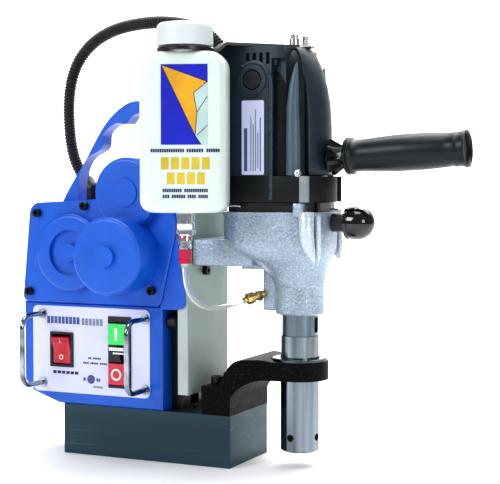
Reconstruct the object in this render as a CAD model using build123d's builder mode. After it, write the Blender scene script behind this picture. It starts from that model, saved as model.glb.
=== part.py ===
"""Magnetic drill press with a powered feed: an electromagnet foot, a column, a vertical feed slide that carries
the gearbox, motor and coolant bottle, and a blue feed housing and control box in front of the column.

Frame: millimetres, +Z up, origin at the centre of the magnet's bottom face, +X towards the spindle,
-Y towards the operator, who faces the control panel.
"""
import os
from math import acos, atan2, cos, degrees, pi, radians, sin, tan

from build123d import *

os.makedirs("parts", exist_ok=True)

# ---------------------------------------------------------------- driving dimensions
MAGNET_L, MAGNET_W, MAGNET_H = 190.0, 90.0, 51.0
POCKET_L, POCKET_W, POLE_L, POLE_W, POCKET_H = 160.0, 66.0, 112.0, 26.0, 19.0
FIT = 0.15            # clearance between fixed neighbours
RUN = 0.05            # radial running clearance of a shaft in its bearing
GAP = 0.4             # air between pieces that move past each other

SPINDLE_X = 150.0     # spindle axis, on the magnet's centre line
ARBOR_R, ARBOR_LOW, ARBOR_TOP = 19.0, 15.0, 128.5
WELDON_R, WELDON_DEPTH = 9.55, 42.0
NECK_R, COLLAR_R, COLLAR_LOW, COLLAR_TOP = 17.8, 24.6, 149.5, 177.0

COLUMN_X0, COLUMN_X1, COLUMN_Y, COLUMN_TOP = -42.0, 33.6, 25.0, 262.0
CHANNEL_X0, CHANNEL_Y, LIP_X, LIP_Y = -36.0, 17.0, 24.0, 9.0
SLIDE_X0, SLIDE_X1, SLIDE_Y, SLIDE_LOW = 34.0, 50.0, 45.0, 68.5
TONGUE_X, TONGUE_Y = 8.0, 14.5

FEED_X, FEED_Z = -18.5, 206.0          # feed shaft axis
FEED_MODULE, PINION_TEETH = 1.25, 24
FEED_TEETH, MOTOR_TEETH, CAM_TEETH = 60, 36, 40
FEED_REACH_MOTOR = FEED_MODULE * (FEED_TEETH + MOTOR_TEETH) / 2
FEED_REACH_CAM = FEED_MODULE * (FEED_TEETH + CAM_TEETH) / 2
CAM_ANGLE = 84.0                        # direction from feed shaft to cam shaft, seen from the front
MOTOR_GEAR_X, MOTOR_GEAR_Z = FEED_X - FEED_REACH_MOTOR, FEED_Z
CAM_X = FEED_X + FEED_REACH_CAM * cos(radians(CAM_ANGLE))
CAM_Z = FEED_Z + FEED_REACH_CAM * sin(radians(CAM_ANGLE))

HOUSING_FRONT, HOUSING_SPLIT, HOUSING_BACK = -50.0, -40.0, -25.2
POD_BACK, HOUSING_LOW, WALL = 20.0, 155.4, 3.0
BOX_X0, BOX_X1, BOX_FRONT, BOX_LOW, BOX_TOP = -142.0, 21.0, -46.0, 51.2, 155.0
PANEL_X0, PANEL_X1, PANEL_Z0, PANEL_Z1, PANEL_T = -130.4, 7.6, 62.6, 151.5, 1.2
ROCKER_X, ROCKER_Z = -95.0, 107.0
CONTACTOR_X, START_Z, STOP_Z = -26.5, 126.0, 85.5
GUARD_R, GUARD_REACH = 2.75, 39.0

CASTING_X, CASTING_L, CASTING_W, RIM_TOP = 128.6, 110.0, 86.0, 250.0
CAVITY_L, CAVITY_W, CAVITY_LOW = 98.0, 74.0, 214.0
ARM_Y, ARM_LOW, ARM_TOP = 38.0, 196.5, 223.0
MOTOR_X, BAND_LOW, BAND_TOP, MOTOR_TOP = 118.0, 259.0, 284.5, 408.0
MOTOR_LEFT, MOTOR_RIGHT, MOTOR_Y = 74.5, 184.0, 44.0
MID_X, MID_Y = 128.65, 19.25            # intermediate shaft
BRUSH_Z = 376.0

HANDLE_Z, HANDLE_TILT, KNOB_Z = 302.5, 3.0, 239.4
BOTTLE_X, BOTTLE_Y, BOTTLE_TURN = 66.0, -82.0, 18.0
BOTTLE_L, BOTTLE_D, BOTTLE_LOW, BOTTLE_TOP = 83.0, 44.0, 249.5, 401.0
SCREW_X = 143.5                          # hanger screw on the motor's top

BOLT_R, BOLT_HEAD_R, BOLT_HEAD_H, BOLT_L = 4.0, 6.5, 8.0, 40.0


# ---------------------------------------------------------------- helpers
def block(x, y, z, mode=Mode.ADD):
    """A box between pairs of limits along X, Y and Z."""
    with Locations(((x[0] + x[1]) / 2, (y[0] + y[1]) / 2, (z[0] + z[1]) / 2)):
        Box(x[1] - x[0], y[1] - y[0], z[1] - z[0], mode=mode)


def disc_z(x, y, r, z0, z1, mode=Mode.ADD):
    """A cylinder along Z."""
    with BuildSketch(Plane.XY.offset(z0)) as profile:
        with Locations((x, y)):
            Circle(r)
    extrude(profile.sketch, amount=z1 - z0, mode=mode)


def disc_y(x, z, r, back, front, mode=Mode.ADD):
    """A cylinder along Y, from its back face to its front face (front is the smaller Y)."""
    with BuildSketch(Plane.XZ.offset(-back)) as profile:
        with Locations((x, z)):
            Circle(r)
    extrude(profile.sketch, amount=back - front, mode=mode)


def rod(plane, r, length, mode=Mode.ADD):
    """A cylinder that rises from a plane."""
    with BuildSketch(plane) as profile:
        Circle(r)
    extrude(profile.sketch, amount=length, mode=mode)


def socket_screw(plane, r, length, head_r, head_h):
    """A socket head screw whose head sits on the plane and whose shank goes below it."""
    rod(plane, r, -length)
    rod(plane, head_r, head_h)
    with BuildSketch(plane.offset(head_h)) as socket:
        RegularPolygon(head_r * 0.55, 6)
    extrude(socket.sketch, amount=-head_h * 0.55, mode=Mode.SUBTRACT)


def gear_points(centre, module, teeth, phase, backlash=0.24):
    """The outline of a spur gear with involute flanks, and a tooth centred on the phase angle."""
    pitch_r = module * teeth / 2
    base_r = pitch_r * cos(radians(20))
    root_r, tip_r = pitch_r - 1.2 * module, pitch_r + 0.85 * module

    def half_angle(r):
        roll = acos(min(1.0, base_r / max(r, base_r)))
        return pi / (2 * teeth) - backlash / (2 * pitch_r) + tan(radians(20)) - radians(20) - (tan(roll) - roll)

    radii = [root_r, (root_r + pitch_r) / 2, pitch_r, (pitch_r + tip_r) / 2, tip_r]
    flank = [(r, half_angle(r)) for r in radii]
    points = []
    for tooth in range(teeth):
        middle = radians(phase) + 2 * pi * tooth / teeth
        for r, a in flank:
            points.append((centre[0] + r * cos(middle - a), centre[1] + r * sin(middle - a)))
        for r, a in reversed(flank):
            points.append((centre[0] + r * cos(middle + a), centre[1] + r * sin(middle + a)))
    return points


def gear(plane, centre, module, teeth, phase, width):
    """A spur gear that rises from a plane."""
    with BuildSketch(plane) as profile:
        with BuildLine():
            Polyline(*gear_points(centre, module, teeth, phase), close=True)
        make_face()
    extrude(profile.sketch, amount=width)


def route_radii(points, name):
    """Arc radii for a cord's route: 0.45 of the shorter run over the tangent of half the turn."""
    places = [Vector(*p) for p in points]
    radii = []
    for before, here, after in zip(places, places[1:], places[2:]):
        run_in, run_out = here - before, after - here
        turn = radians(run_in.get_angle(run_out))
        radii.append(0.45 * min(run_in.length, run_out.length) / tan(turn / 2))
    print(name, "radii", [round(r, 1) for r in radii])
    return radii


def save(piece, name):
    """Label a finished piece and write it."""
    piece.part.label = name
    export_step(piece.part, f"parts/{name}.step")


# ---------------------------------------------------------------- magnet foot
COLUMN_BOLTS = [(-62.0, -12.0), (-62.0, 28.0), (-20.0, 34.0), (18.0, 34.0)]
BRACKET_BOLTS = [(73.5, -28.0), (73.5, 0.0), (73.5, 28.0)]

with BuildPart() as magnet_body:
    with BuildSketch():
        RectangleRounded(MAGNET_L, MAGNET_W, 1.5)
    extrude(amount=MAGNET_H)
    with BuildSketch():
        Rectangle(POCKET_L, POCKET_W)
        Rectangle(POLE_L, POLE_W, mode=Mode.SUBTRACT)
    extrude(amount=POCKET_H, mode=Mode.SUBTRACT)
    for bolt_x, bolt_y in COLUMN_BOLTS + BRACKET_BOLTS:
        disc_z(bolt_x, bolt_y, BOLT_R + FIT, POCKET_H + 1.0, MAGNET_H + 1, mode=Mode.SUBTRACT)

with BuildPart() as magnet_coil:
    with BuildSketch(Plane.XY.offset(4.0)):
        RectangleRounded(POCKET_L - 1.0, POCKET_W - 1.0, 4)
        Rectangle(POLE_L + 1.0, POLE_W + 1.0, mode=Mode.SUBTRACT)
    extrude(amount=POCKET_H - 4.5)

with BuildPart() as magnet_seal:
    with BuildSketch(Plane.XY.offset(0.3)):
        Rectangle(POCKET_L - 2 * FIT, POCKET_W - 2 * FIT)
        Rectangle(POLE_L + 2 * FIT, POLE_W + 2 * FIT, mode=Mode.SUBTRACT)
    extrude(amount=3.4)

# ---------------------------------------------------------------- column and its foot
FOOT_X0, FOOT_Y0, FOOT_Y1, FOOT_T = -75.0, -24.5, 43.0, 10.0
LEDGE_Z = 79.0

with BuildPart() as column:
    with BuildSketch(Plane.XY.offset(MAGNET_H)):
        with Locations(((COLUMN_X0 + COLUMN_X1) / 2, 0)):
            Rectangle(COLUMN_X1 - COLUMN_X0, 2 * COLUMN_Y)
    extrude(amount=COLUMN_TOP - MAGNET_H)
    fillet(column.edges().filter_by(Axis.Z).group_by(Axis.X)[0], 5)
    block((FOOT_X0, COLUMN_X1), (FOOT_Y0, FOOT_Y1), (MAGNET_H, MAGNET_H + FOOT_T))
    channel_low = MAGNET_H + FOOT_T
    block((CHANNEL_X0, LIP_X), (-CHANNEL_Y, CHANNEL_Y), (channel_low, COLUMN_TOP + 1), mode=Mode.SUBTRACT)
    block((LIP_X - 1, COLUMN_X1 + 1), (-LIP_Y, LIP_Y), (MAGNET_H + 2, COLUMN_TOP + 1), mode=Mode.SUBTRACT)
    block((TONGUE_X - 4, LIP_X), (-CHANNEL_Y, CHANNEL_Y), (MAGNET_H + 2, channel_low + 1), mode=Mode.SUBTRACT)
    disc_y(FEED_X, FEED_Z, 9.0 + FIT, COLUMN_Y + 1, -COLUMN_Y - 1, mode=Mode.SUBTRACT)
    for bolt_x, bolt_y in COLUMN_BOLTS:
        disc_z(bolt_x, bolt_y, BOLT_R + FIT, MAGNET_H - 1, MAGNET_H + FOOT_T + 1, mode=Mode.SUBTRACT)

with BuildPart() as gibs:
    for side in (-1, 1):
        inner, outer = side * (TONGUE_Y + 0.1), side * (CHANNEL_Y - 0.1)
        block((10.0, 23.0), tuple(sorted((inner, outer))), (84.0, 256.0))

# ---------------------------------------------------------------- arbor support bracket
RING_R, RING_LOW, RING_TOP, BUSH_R = 28.0, 86.0, 104.0, 23.0
BASE_X0, BASE_X1 = 64.0, 95.0

with BuildPart() as arbor_bracket:
    with BuildSketch(Plane.XZ.offset(-MAGNET_W / 2)):
        with BuildLine():
            Polyline((BASE_X1, 68.0), (BASE_X1, MAGNET_H), (BASE_X0, MAGNET_H), (BASE_X0, LEDGE_Z), (77.0, LEDGE_Z))
            Spline((77.0, LEDGE_Z), (86.5, 88.0), (94.0, 99.5), (104.0, 106.0), tangents=((1, 0.1), (1, 0.1)))
            Polyline((104.0, 106.0), (120.0, 106.2), (134.0, RING_TOP), (SPINDLE_X, RING_TOP),
                     (SPINDLE_X, RING_LOW), (122.0, RING_LOW))
            ThreePointArc((122.0, RING_LOW), (104.5, 79.5), (BASE_X1, 68.0))
        make_face()
    extrude(amount=MAGNET_W)
    with BuildSketch(Plane.XY.offset(MAGNET_H)):
        with BuildLine():
            Polyline((BASE_X0, -45), (BASE_X1 + 2, -45), (124, -31), (SPINDLE_X, -RING_R), (SPINDLE_X, RING_R),
                     (124, 31), (BASE_X1 + 2, 45), (BASE_X0, 45), close=True)
        make_face()
        with Locations((SPINDLE_X, 0)):
            Circle(RING_R)
    extrude(amount=60, mode=Mode.INTERSECT)
    disc_z(SPINDLE_X, 0, RING_R, RING_LOW, RING_TOP)
    disc_z(SPINDLE_X, 0, RING_R, RING_TOP, RING_TOP + 4, mode=Mode.SUBTRACT)
    disc_z(SPINDLE_X, 0, BUSH_R + FIT, RING_LOW - 1, RING_TOP + 3, mode=Mode.SUBTRACT)
    for bolt_x, bolt_y in BRACKET_BOLTS:
        disc_z(bolt_x, bolt_y, BOLT_HEAD_R + 0.8, LEDGE_Z, LEDGE_Z + 30, mode=Mode.SUBTRACT)
        disc_z(bolt_x, bolt_y, BOLT_R + FIT, MAGNET_H - 1, LEDGE_Z + 30, mode=Mode.SUBTRACT)

with BuildPart() as support_bush:
    disc_z(SPINDLE_X, 0, BUSH_R, RING_LOW, RING_TOP)
    disc_z(SPINDLE_X, 0, RING_R - 0.8, RING_TOP + FIT, RING_TOP + 3.0)
    disc_z(SPINDLE_X, 0, BUSH_R - 0.5, RING_TOP, RING_TOP + 1.0)
    disc_z(SPINDLE_X, 0, ARBOR_R + 0.08, RING_LOW - 1, RING_TOP + 4, mode=Mode.SUBTRACT)
    chamfer(support_bush.edges().filter_by(GeomType.CIRCLE).group_by(Axis.Z)[-1], 0.8)

with BuildPart() as foot_bolts:
    for bolt_x, bolt_y in COLUMN_BOLTS:
        socket_screw(Plane((bolt_x, bolt_y, MAGNET_H + FOOT_T + 0.1)),
                     BOLT_R, BOLT_L, BOLT_HEAD_R, BOLT_HEAD_H)
    for bolt_x, bolt_y in BRACKET_BOLTS:
        socket_screw(Plane((bolt_x, bolt_y, LEDGE_Z + 0.1)),
                     BOLT_R, BOLT_L, BOLT_HEAD_R, BOLT_HEAD_H)

# ---------------------------------------------------------------- feed slide, rack and feed gears
ARM_BOLTS = [(32.0, 202.5), (32.0, 217.0), (-32.0, 202.5), (-32.0, 217.0)]
LOCK_SCREW_R, LOCK_HEAD_R, LOCK_SCREW_Y, LOCK_SCREW_Z = 3.0, 4.5, -10.5, 190.0
RACK_PITCH_X = FEED_X + FEED_MODULE * PINION_TEETH / 2
RACK_LOW, RACK_TEETH = 140.0, 24
TOOTH_STEP = pi * FEED_MODULE

with BuildPart() as slide:
    block((SLIDE_X0, SLIDE_X1), (-SLIDE_Y, SLIDE_Y), (SLIDE_LOW, COLUMN_TOP))
    chamfer(slide.edges().filter_by(Axis.Z), 1.0)
    for inner, outer in ((COLUMN_Y + FIT, SLIDE_Y + 1), (-SLIDE_Y - 1, -COLUMN_Y - FIT)):
        block((SLIDE_X0 - 1, SLIDE_X0 + 4.2), (inner, outer), (SLIDE_LOW - 1, COLUMN_TOP + 1), mode=Mode.SUBTRACT)
    block((LIP_X - GAP - 1, SLIDE_X0 + 1), (-LIP_Y + GAP, LIP_Y - GAP), (SLIDE_LOW, COLUMN_TOP))
    block((TONGUE_X, LIP_X - GAP), (-TONGUE_Y, TONGUE_Y), (SLIDE_LOW, COLUMN_TOP))
    for bolt_y, bolt_z in ARM_BOLTS:
        rod(Plane((SLIDE_X0 - 1, bolt_y, bolt_z), z_dir=(1, 0, 0)), BOLT_HEAD_R + 0.4, 9.5, mode=Mode.SUBTRACT)
        rod(Plane((SLIDE_X0 - 1, bolt_y, bolt_z), z_dir=(1, 0, 0)), BOLT_R + FIT, 20, mode=Mode.SUBTRACT)
    rod(Plane((SLIDE_X1 + 1, LOCK_SCREW_Y, LOCK_SCREW_Z), z_dir=(-1, 0, 0)), LOCK_SCREW_R + FIT, 13,
        mode=Mode.SUBTRACT)

with BuildPart() as rack:
    with BuildSketch(Plane.XZ.offset(-7)):
        with BuildLine():
            corners = [(TONGUE_X - FIT, RACK_LOW)]
            root_x, tip_x = RACK_PITCH_X + 1.2 * FEED_MODULE, RACK_PITCH_X - 0.85 * FEED_MODULE
            first = FEED_Z - TOOTH_STEP * (round((FEED_Z - RACK_LOW) / TOOTH_STEP) - 0.5)
            half_root, half_tip = 0.36 * TOOTH_STEP, 0.14 * TOOTH_STEP
            for tooth in range(RACK_TEETH):
                middle = first + tooth * TOOTH_STEP
                corners += [(root_x, middle - half_root), (tip_x, middle - half_tip),
                            (tip_x, middle + half_tip), (root_x, middle + half_root)]
            corners[0] = (TONGUE_X - FIT, first - half_root)
            corners.append((TONGUE_X - FIT, first + (RACK_TEETH - 1) * TOOTH_STEP + half_root))
            Polyline(*corners, close=True)
        make_face()
    extrude(amount=14)

with BuildPart() as feed_shaft:
    disc_y(FEED_X, FEED_Z, 6.0, COLUMN_Y + 2, -78.0)
    gear(Plane.XZ.offset(-6), (FEED_X, FEED_Z), FEED_MODULE, PINION_TEETH, 0, 12)
    disc_y(FEED_X, FEED_Z, 9.0, 14.0, -15.0)

with BuildPart() as feed_bushes:
    for back, front in ((COLUMN_Y, CHANNEL_Y - 1.0), (-CHANNEL_Y + 1.0, HOUSING_BACK + 0.1)):
        disc_y(FEED_X, FEED_Z, 9.0, back, front)
    disc_y(FEED_X, FEED_Z, 6.0 + RUN, COLUMN_Y + 5, -COLUMN_Y - 5, mode=Mode.SUBTRACT)

with BuildPart() as feed_gear:
    gear(Plane.XZ.offset(35), (FEED_X, FEED_Z), FEED_MODULE, FEED_TEETH, 180, 6)
    disc_y(FEED_X, FEED_Z, 12.0, -34.0, -44.0)
    disc_y(FEED_X, FEED_Z, 6.0 + 0.02, -30, -50, mode=Mode.SUBTRACT)

with BuildPart() as feed_clutch:
    disc_y(FEED_X, FEED_Z, 31.0, -50.0, -76.0)
    disc_y(FEED_X, FEED_Z, 14.0, -44.2, -50.0)
    chamfer(feed_clutch.edges().filter_by(GeomType.CIRCLE).group_by(Axis.Y)[0], 2)
    disc_y(FEED_X, FEED_Z, 6.0 + 0.02, -30, -90, mode=Mode.SUBTRACT)

with BuildPart() as motor_gear:
    gear(Plane.XZ.offset(35.5), (MOTOR_GEAR_X, MOTOR_GEAR_Z), FEED_MODULE, MOTOR_TEETH, 180 / MOTOR_TEETH, 5)
    disc_y(MOTOR_GEAR_X, MOTOR_GEAR_Z, 4.0, -18.0, -46.0)
    disc_y(MOTOR_GEAR_X, MOTOR_GEAR_Z, 8.0, -33.0, -43.0)

with BuildPart() as cam_gear:
    gear(Plane.XZ.offset(35.5), (CAM_X, CAM_Z), FEED_MODULE, CAM_TEETH, CAM_ANGLE + 180 + 180 / CAM_TEETH, 5)
    disc_y(CAM_X, CAM_Z, 4.0, HOUSING_BACK - 3.5, -55.0)
    with BuildSketch(Plane.XZ.offset(41)):
        with Locations((CAM_X, CAM_Z)):
            Circle(14)
        with Locations((CAM_X + 8, CAM_Z)):
            Circle(11)
    extrude(amount=5)

with BuildPart() as feed_motor:
    disc_y(MOTOR_GEAR_X, MOTOR_GEAR_Z, 24.0, 14.0, -24.0)
    disc_y(MOTOR_GEAR_X, MOTOR_GEAR_Z, 12.0, -24.0, -30.0)
    disc_y(MOTOR_GEAR_X, MOTOR_GEAR_Z, 4.0 + RUN, -15.0, -31.0, mode=Mode.SUBTRACT)
    chamfer(feed_motor.edges().filter_by(GeomType.CIRCLE).group_by(Axis.Y)[-1], 2)

# ---------------------------------------------------------------- feed housing and its carry handle
HANDLE_FRONT, HANDLE_BACK = -40.0, -23.0
DOME_R, CENTRE_DOME_R, LEFT_DOME_R = 35.0, 38.3, 39.5
DOME_FRONT, CENTRE_DOME_FRONT, LEFT_DOME_FRONT = -62.0, -88.0, -58.0
LEFT_DOME, DOME_RIM = (-80.0, 207.0), 4.0
SHELL = 2.5
COVER_SCREWS = [(-121.2, 247.0), (-64.7, 254.5), (-131.2, 166.0), (12.3, 171.0)]
COVER_SCREW_R = 2.5


def housing_face(*right_side):
    """The feed housing's front outline as a sketch, given the corners of its right side from the bottom up."""
    with BuildSketch() as face:
        with BuildLine():
            Polyline((CAM_X, 290.0), (-40.0, 262.5), (-58.0, 261.0), (-131.6, 257.1), (-141.0, 160.0),
                     (-137.5, HOUSING_LOW), *right_side, close=True)
        make_face()
        fillet(face.vertices().sort_by(Axis.X)[2], 12.5)
        fillet(face.vertices().sort_by(Axis.X)[:2], 4)
        with Locations((CAM_X, CAM_Z)):
            Circle(DOME_R)
    return face.sketch


def pod(front, inset, mode=Mode.ADD):
    """The volume behind the housing that covers the feed motor, or its hollow when inset."""
    with BuildPart(mode=Mode.PRIVATE) as volume:
        block((-140.0 + inset, -47.0 - inset), (front, POD_BACK - inset), (HOUSING_LOW + inset, 257.0 - inset))
        corner = volume.edges().filter_by(Axis.Y).sort_by(lambda edge: edge.center().X - edge.center().Z)[0]
        fillet(corner, 18.0 - inset)
    add(volume.part, mode=mode)


COVER_FACE = housing_face((17.5, HOUSING_LOW), (21.6, 159.3), (38.0, 229.0), (37.4, 246.0), (30.0, 258.0))
REAR_FACE = housing_face((29.6, HOUSING_LOW), (32.6, 158.5), (31.0, 226.0), (22.5, 262.0))
WING_BACK, WING_FRONT = -SLIDE_Y - GAP, -SLIDE_Y - 2.2


with BuildPart() as feed_housing:
    with BuildSketch(Plane.XZ.offset(-HOUSING_BACK)):
        add(REAR_FACE)
    extrude(amount=HOUSING_BACK - HOUSING_SPLIT)
    with BuildSketch(Plane.XZ.offset(-HOUSING_BACK + WALL)):
        add(REAR_FACE)
        offset(amount=-WALL, mode=Mode.REPLACE)
    extrude(amount=20, mode=Mode.SUBTRACT)
    pod(HOUSING_BACK - 1, 0.0)
    pod(HOUSING_BACK, WALL, Mode.SUBTRACT)
    for left, right, back in ((29.0, SLIDE_X0 - GAP, HOUSING_SPLIT + 1), (20.0, 60.0, WING_BACK)):
        with BuildSketch(Plane.XZ.offset(-back)) as wing:
            with BuildLine():
                Polyline((20.0, 152.7), (36.0, 152.7), (47.6, 154.5), (47.1, 173.8), (41.6, 195.3), (38.0, 226.0),
                         (20.0, 226.0), close=True)
            make_face()
            fillet(wing.vertices().sort_by(lambda corner: corner.Z - corner.X)[0], 6.0)
            with Locations(((left + right) / 2, 190.0)):
                Rectangle(right - left, 80.0, mode=Mode.INTERSECT)
            with BuildSketch(Plane.XZ.offset(-back), mode=Mode.SUBTRACT):
                add(COVER_FACE)
                offset(amount=2 * FIT, mode=Mode.REPLACE)
            with Locations((0.0, HOUSING_LOW - 5)):
                Rectangle(2 * left, 10.0, mode=Mode.SUBTRACT)
        extrude(amount=back - WING_FRONT)
    with BuildSketch(Plane.XZ.offset(-HANDLE_BACK)):
        with BuildLine():
            Spline((-99.0, 256.0), (-93.0, 267.0), (-70.0, 301.0), (-47.0, 336.5), (-27.0, 354.0),
                   (-10.0, 359.5), (5.0, 354.0), (12.0, 338.0))
            Polyline((12.0, 338.0), (15.0, 286.0), (-60.0, 256.0), (-99.0, 256.0))
        make_face()
        with BuildLine():
            Polyline((-7.0, 320.0), (-7.0, 240.0), (-80.0, 240.0), (-79.5, 264.0))
            Spline((-79.5, 264.0), (-77.5, 284.0), (-65.0, 305.0), (-50.0, 315.0), (-48.5, 327.0),
                   (-40.0, 335.0), (-30.5, 337.7), (-22.0, 337.0), (-16.5, 343.5), (-9.0, 347.0), (-7.0, 320.0))
        make_face(mode=Mode.SUBTRACT)
    extrude(amount=HANDLE_BACK - HANDLE_FRONT)
    disc_y(CAM_X, CAM_Z, DOME_R - WALL, HOUSING_BACK - WALL, HOUSING_FRONT, mode=Mode.SUBTRACT)
    for screw_x, screw_z in COVER_SCREWS:
        disc_y(screw_x, screw_z, 5.0, HOUSING_BACK - 1, HOUSING_SPLIT)
        disc_y(screw_x, screw_z, COVER_SCREW_R + FIT, HOUSING_BACK - 1, HOUSING_FRONT, mode=Mode.SUBTRACT)
    disc_y(FEED_X, FEED_Z, 7.0, 0, -30, mode=Mode.SUBTRACT)
    disc_y(MOTOR_GEAR_X, MOTOR_GEAR_Z, 12.0 + FIT, -24, -30, mode=Mode.SUBTRACT)
    disc_y(CAM_X, CAM_Z, 6.0, HOUSING_BACK, -33.0)
    disc_y(CAM_X, CAM_Z, 4.0 + RUN, HOUSING_BACK - 1.5, -40.0, mode=Mode.SUBTRACT)

with BuildPart() as feed_cover:
    with BuildSketch(Plane.XZ.offset(-HOUSING_SPLIT + 0.1)):
        add(COVER_FACE)
    extrude(amount=HOUSING_SPLIT - 0.1 - HOUSING_FRONT)
    chamfer(feed_cover.faces().sort_by(Axis.Y)[0].edges(), 1.2)
    for dome_x, dome_z, dome_r, dome_front in ((*LEFT_DOME, LEFT_DOME_R, LEFT_DOME_FRONT),
                                               (CAM_X, CAM_Z, DOME_R, DOME_FRONT),
                                               (FEED_X, FEED_Z, CENTRE_DOME_R, CENTRE_DOME_FRONT)):
        with BuildPart() as dome:
            disc_y(dome_x, dome_z, dome_r, HOUSING_FRONT, dome_front)
            fillet(dome.edges().filter_by(GeomType.CIRCLE).sort_by(Axis.Y)[0], DOME_RIM)
    disc_y(FEED_X, FEED_Z, 10.3, CENTRE_DOME_FRONT, CENTRE_DOME_FRONT - 4)
    disc_y(CAM_X, CAM_Z, 14.0, DOME_FRONT, DOME_FRONT - 1.5)
    disc_y(*LEFT_DOME, 23.0, LEFT_DOME_FRONT + 4, LEFT_DOME_FRONT - 1, mode=Mode.SUBTRACT)
    disc_y(*LEFT_DOME, 9.0, LEFT_DOME_FRONT + 4.5, LEFT_DOME_FRONT - 0.5)
    with BuildSketch(Plane.XZ.offset(-HOUSING_SPLIT - 1)):
        add(COVER_FACE)
        offset(amount=-WALL, mode=Mode.REPLACE)
    extrude(amount=HOUSING_SPLIT + 1 - HOUSING_FRONT - WALL, mode=Mode.SUBTRACT)
    block((SLIDE_X0 - GAP - WALL, SLIDE_X0), (HOUSING_FRONT + 1, HOUSING_SPLIT - 0.1), (211.0, 251.0))
    block((SLIDE_X0 - GAP, 60.0), (-SLIDE_Y - GAP, HOUSING_SPLIT + 1), (HOUSING_LOW, 262.0), mode=Mode.SUBTRACT)
    disc_y(*LEFT_DOME, 22.0, -44, LEFT_DOME_FRONT + 4 + SHELL, mode=Mode.SUBTRACT)
    disc_y(CAM_X, CAM_Z, DOME_R - SHELL, -44, DOME_FRONT + SHELL, mode=Mode.SUBTRACT)
    disc_y(FEED_X, FEED_Z, CENTRE_DOME_R - SHELL, -44, CENTRE_DOME_FRONT + SHELL, mode=Mode.SUBTRACT)
    disc_y(FEED_X, FEED_Z, 9.0, CENTRE_DOME_FRONT + 9, CENTRE_DOME_FRONT)
    disc_y(FEED_X, FEED_Z, 6.0 + RUN, -74, CENTRE_DOME_FRONT + 6, mode=Mode.SUBTRACT)
    for screw_x, screw_z in COVER_SCREWS:
        disc_y(screw_x, screw_z, COVER_SCREW_R + FIT, -40, HOUSING_FRONT - 1, mode=Mode.SUBTRACT)

with BuildPart() as cover_screws:
    for screw_x, screw_z in COVER_SCREWS:
        socket_screw(Plane((screw_x, HOUSING_FRONT - 0.1, screw_z), z_dir=(0, -1, 0)), COVER_SCREW_R, 18.0, 4.2, 5.0)

# ---------------------------------------------------------------- control box
BEZEL_W, BEZEL_H, ROCKER_BODY = 27.6, 36.0, (25.0, 33.0)
CONTACTOR_W, CONTACTOR_H, CONTACTOR_BODY = 26.4, 72.6, (24.4, 70.0)
CONTACTOR_Z = (START_Z + STOP_Z) / 2 + 1.5
GUARD_FEET = [(-118.2, 72.0, 143.2), (3.2, 71.4, 142.2)]
PANEL_FACE = BOX_FRONT - PANEL_T
GLAND_X, GLAND_Z = -110.0, 92.0


def plate_xz(x, z, size, back, front, mode=Mode.ADD):
    """A rectangular block centred on (x, z) that runs from its back face to its front face along Y."""
    block((x - size[0] / 2, x + size[0] / 2), (front, back), (z - size[1] / 2, z + size[1] / 2), mode=mode)


with BuildPart() as control_box:
    with BuildSketch(Plane.XZ.offset(-HOUSING_BACK)) as box_face:
        with BuildLine():
            Polyline((BOX_X0, BOX_TOP), (BOX_X0, 73.0), (-131.0, 61.5), (-100.0, BOX_LOW), (BOX_X1, BOX_LOW),
                     (BOX_X1, BOX_TOP), close=True)
        make_face()
    extrude(amount=HOUSING_BACK - BOX_FRONT)
    chamfer(control_box.faces().sort_by(Axis.Y)[0].edges(), 1.5)
    with BuildSketch(Plane.XZ.offset(-POD_BACK)):
        with BuildLine():
            Polyline((BOX_X0, BOX_TOP), (BOX_X0, 73.0), (-131.0, 63.0), (-79.0, 63.0), (-79.0, BOX_TOP), close=True)
        make_face()
    extrude(amount=POD_BACK - HOUSING_BACK + 1)
    with BuildSketch(Plane.XZ.offset(-HOUSING_BACK)):
        add(box_face.sketch_local)
        offset(amount=-WALL, mode=Mode.REPLACE)
    extrude(amount=HOUSING_BACK - BOX_FRONT - WALL, mode=Mode.SUBTRACT)
    block((BOX_X0 + WALL, -79.0 - WALL), (-40, POD_BACK + 1), (73.0, BOX_TOP - WALL), mode=Mode.SUBTRACT)
    plate_xz(ROCKER_X, ROCKER_Z, (ROCKER_BODY[0] + 0.3, ROCKER_BODY[1] + 0.3), -40, -50, mode=Mode.SUBTRACT)
    plate_xz(CONTACTOR_X, CONTACTOR_Z, (CONTACTOR_BODY[0] + 0.3, CONTACTOR_BODY[1] + 0.3), -40, -50,
             mode=Mode.SUBTRACT)
    for foot_x, low, high in GUARD_FEET:
        disc_y(foot_x, low, GUARD_R + FIT, -40, -50, mode=Mode.SUBTRACT)
        disc_y(foot_x, high, GUARD_R + FIT, -40, -50, mode=Mode.SUBTRACT)

with BuildPart() as box_back_cover:
    block((-78.0, BOX_X1 - WALL - FIT), (HOUSING_BACK - 2.5, HOUSING_BACK - 0.1), (BOX_LOW + WALL + FIT, 151.8))
    block((BOX_X0 + WALL + FIT, -79.0 - WALL - FIT), (POD_BACK - 2.5, POD_BACK), (73.0 + FIT, 151.8))
    disc_y(GLAND_X, GLAND_Z, 7.8 + FIT, POD_BACK + 1, POD_BACK - 5, mode=Mode.SUBTRACT)

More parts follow.
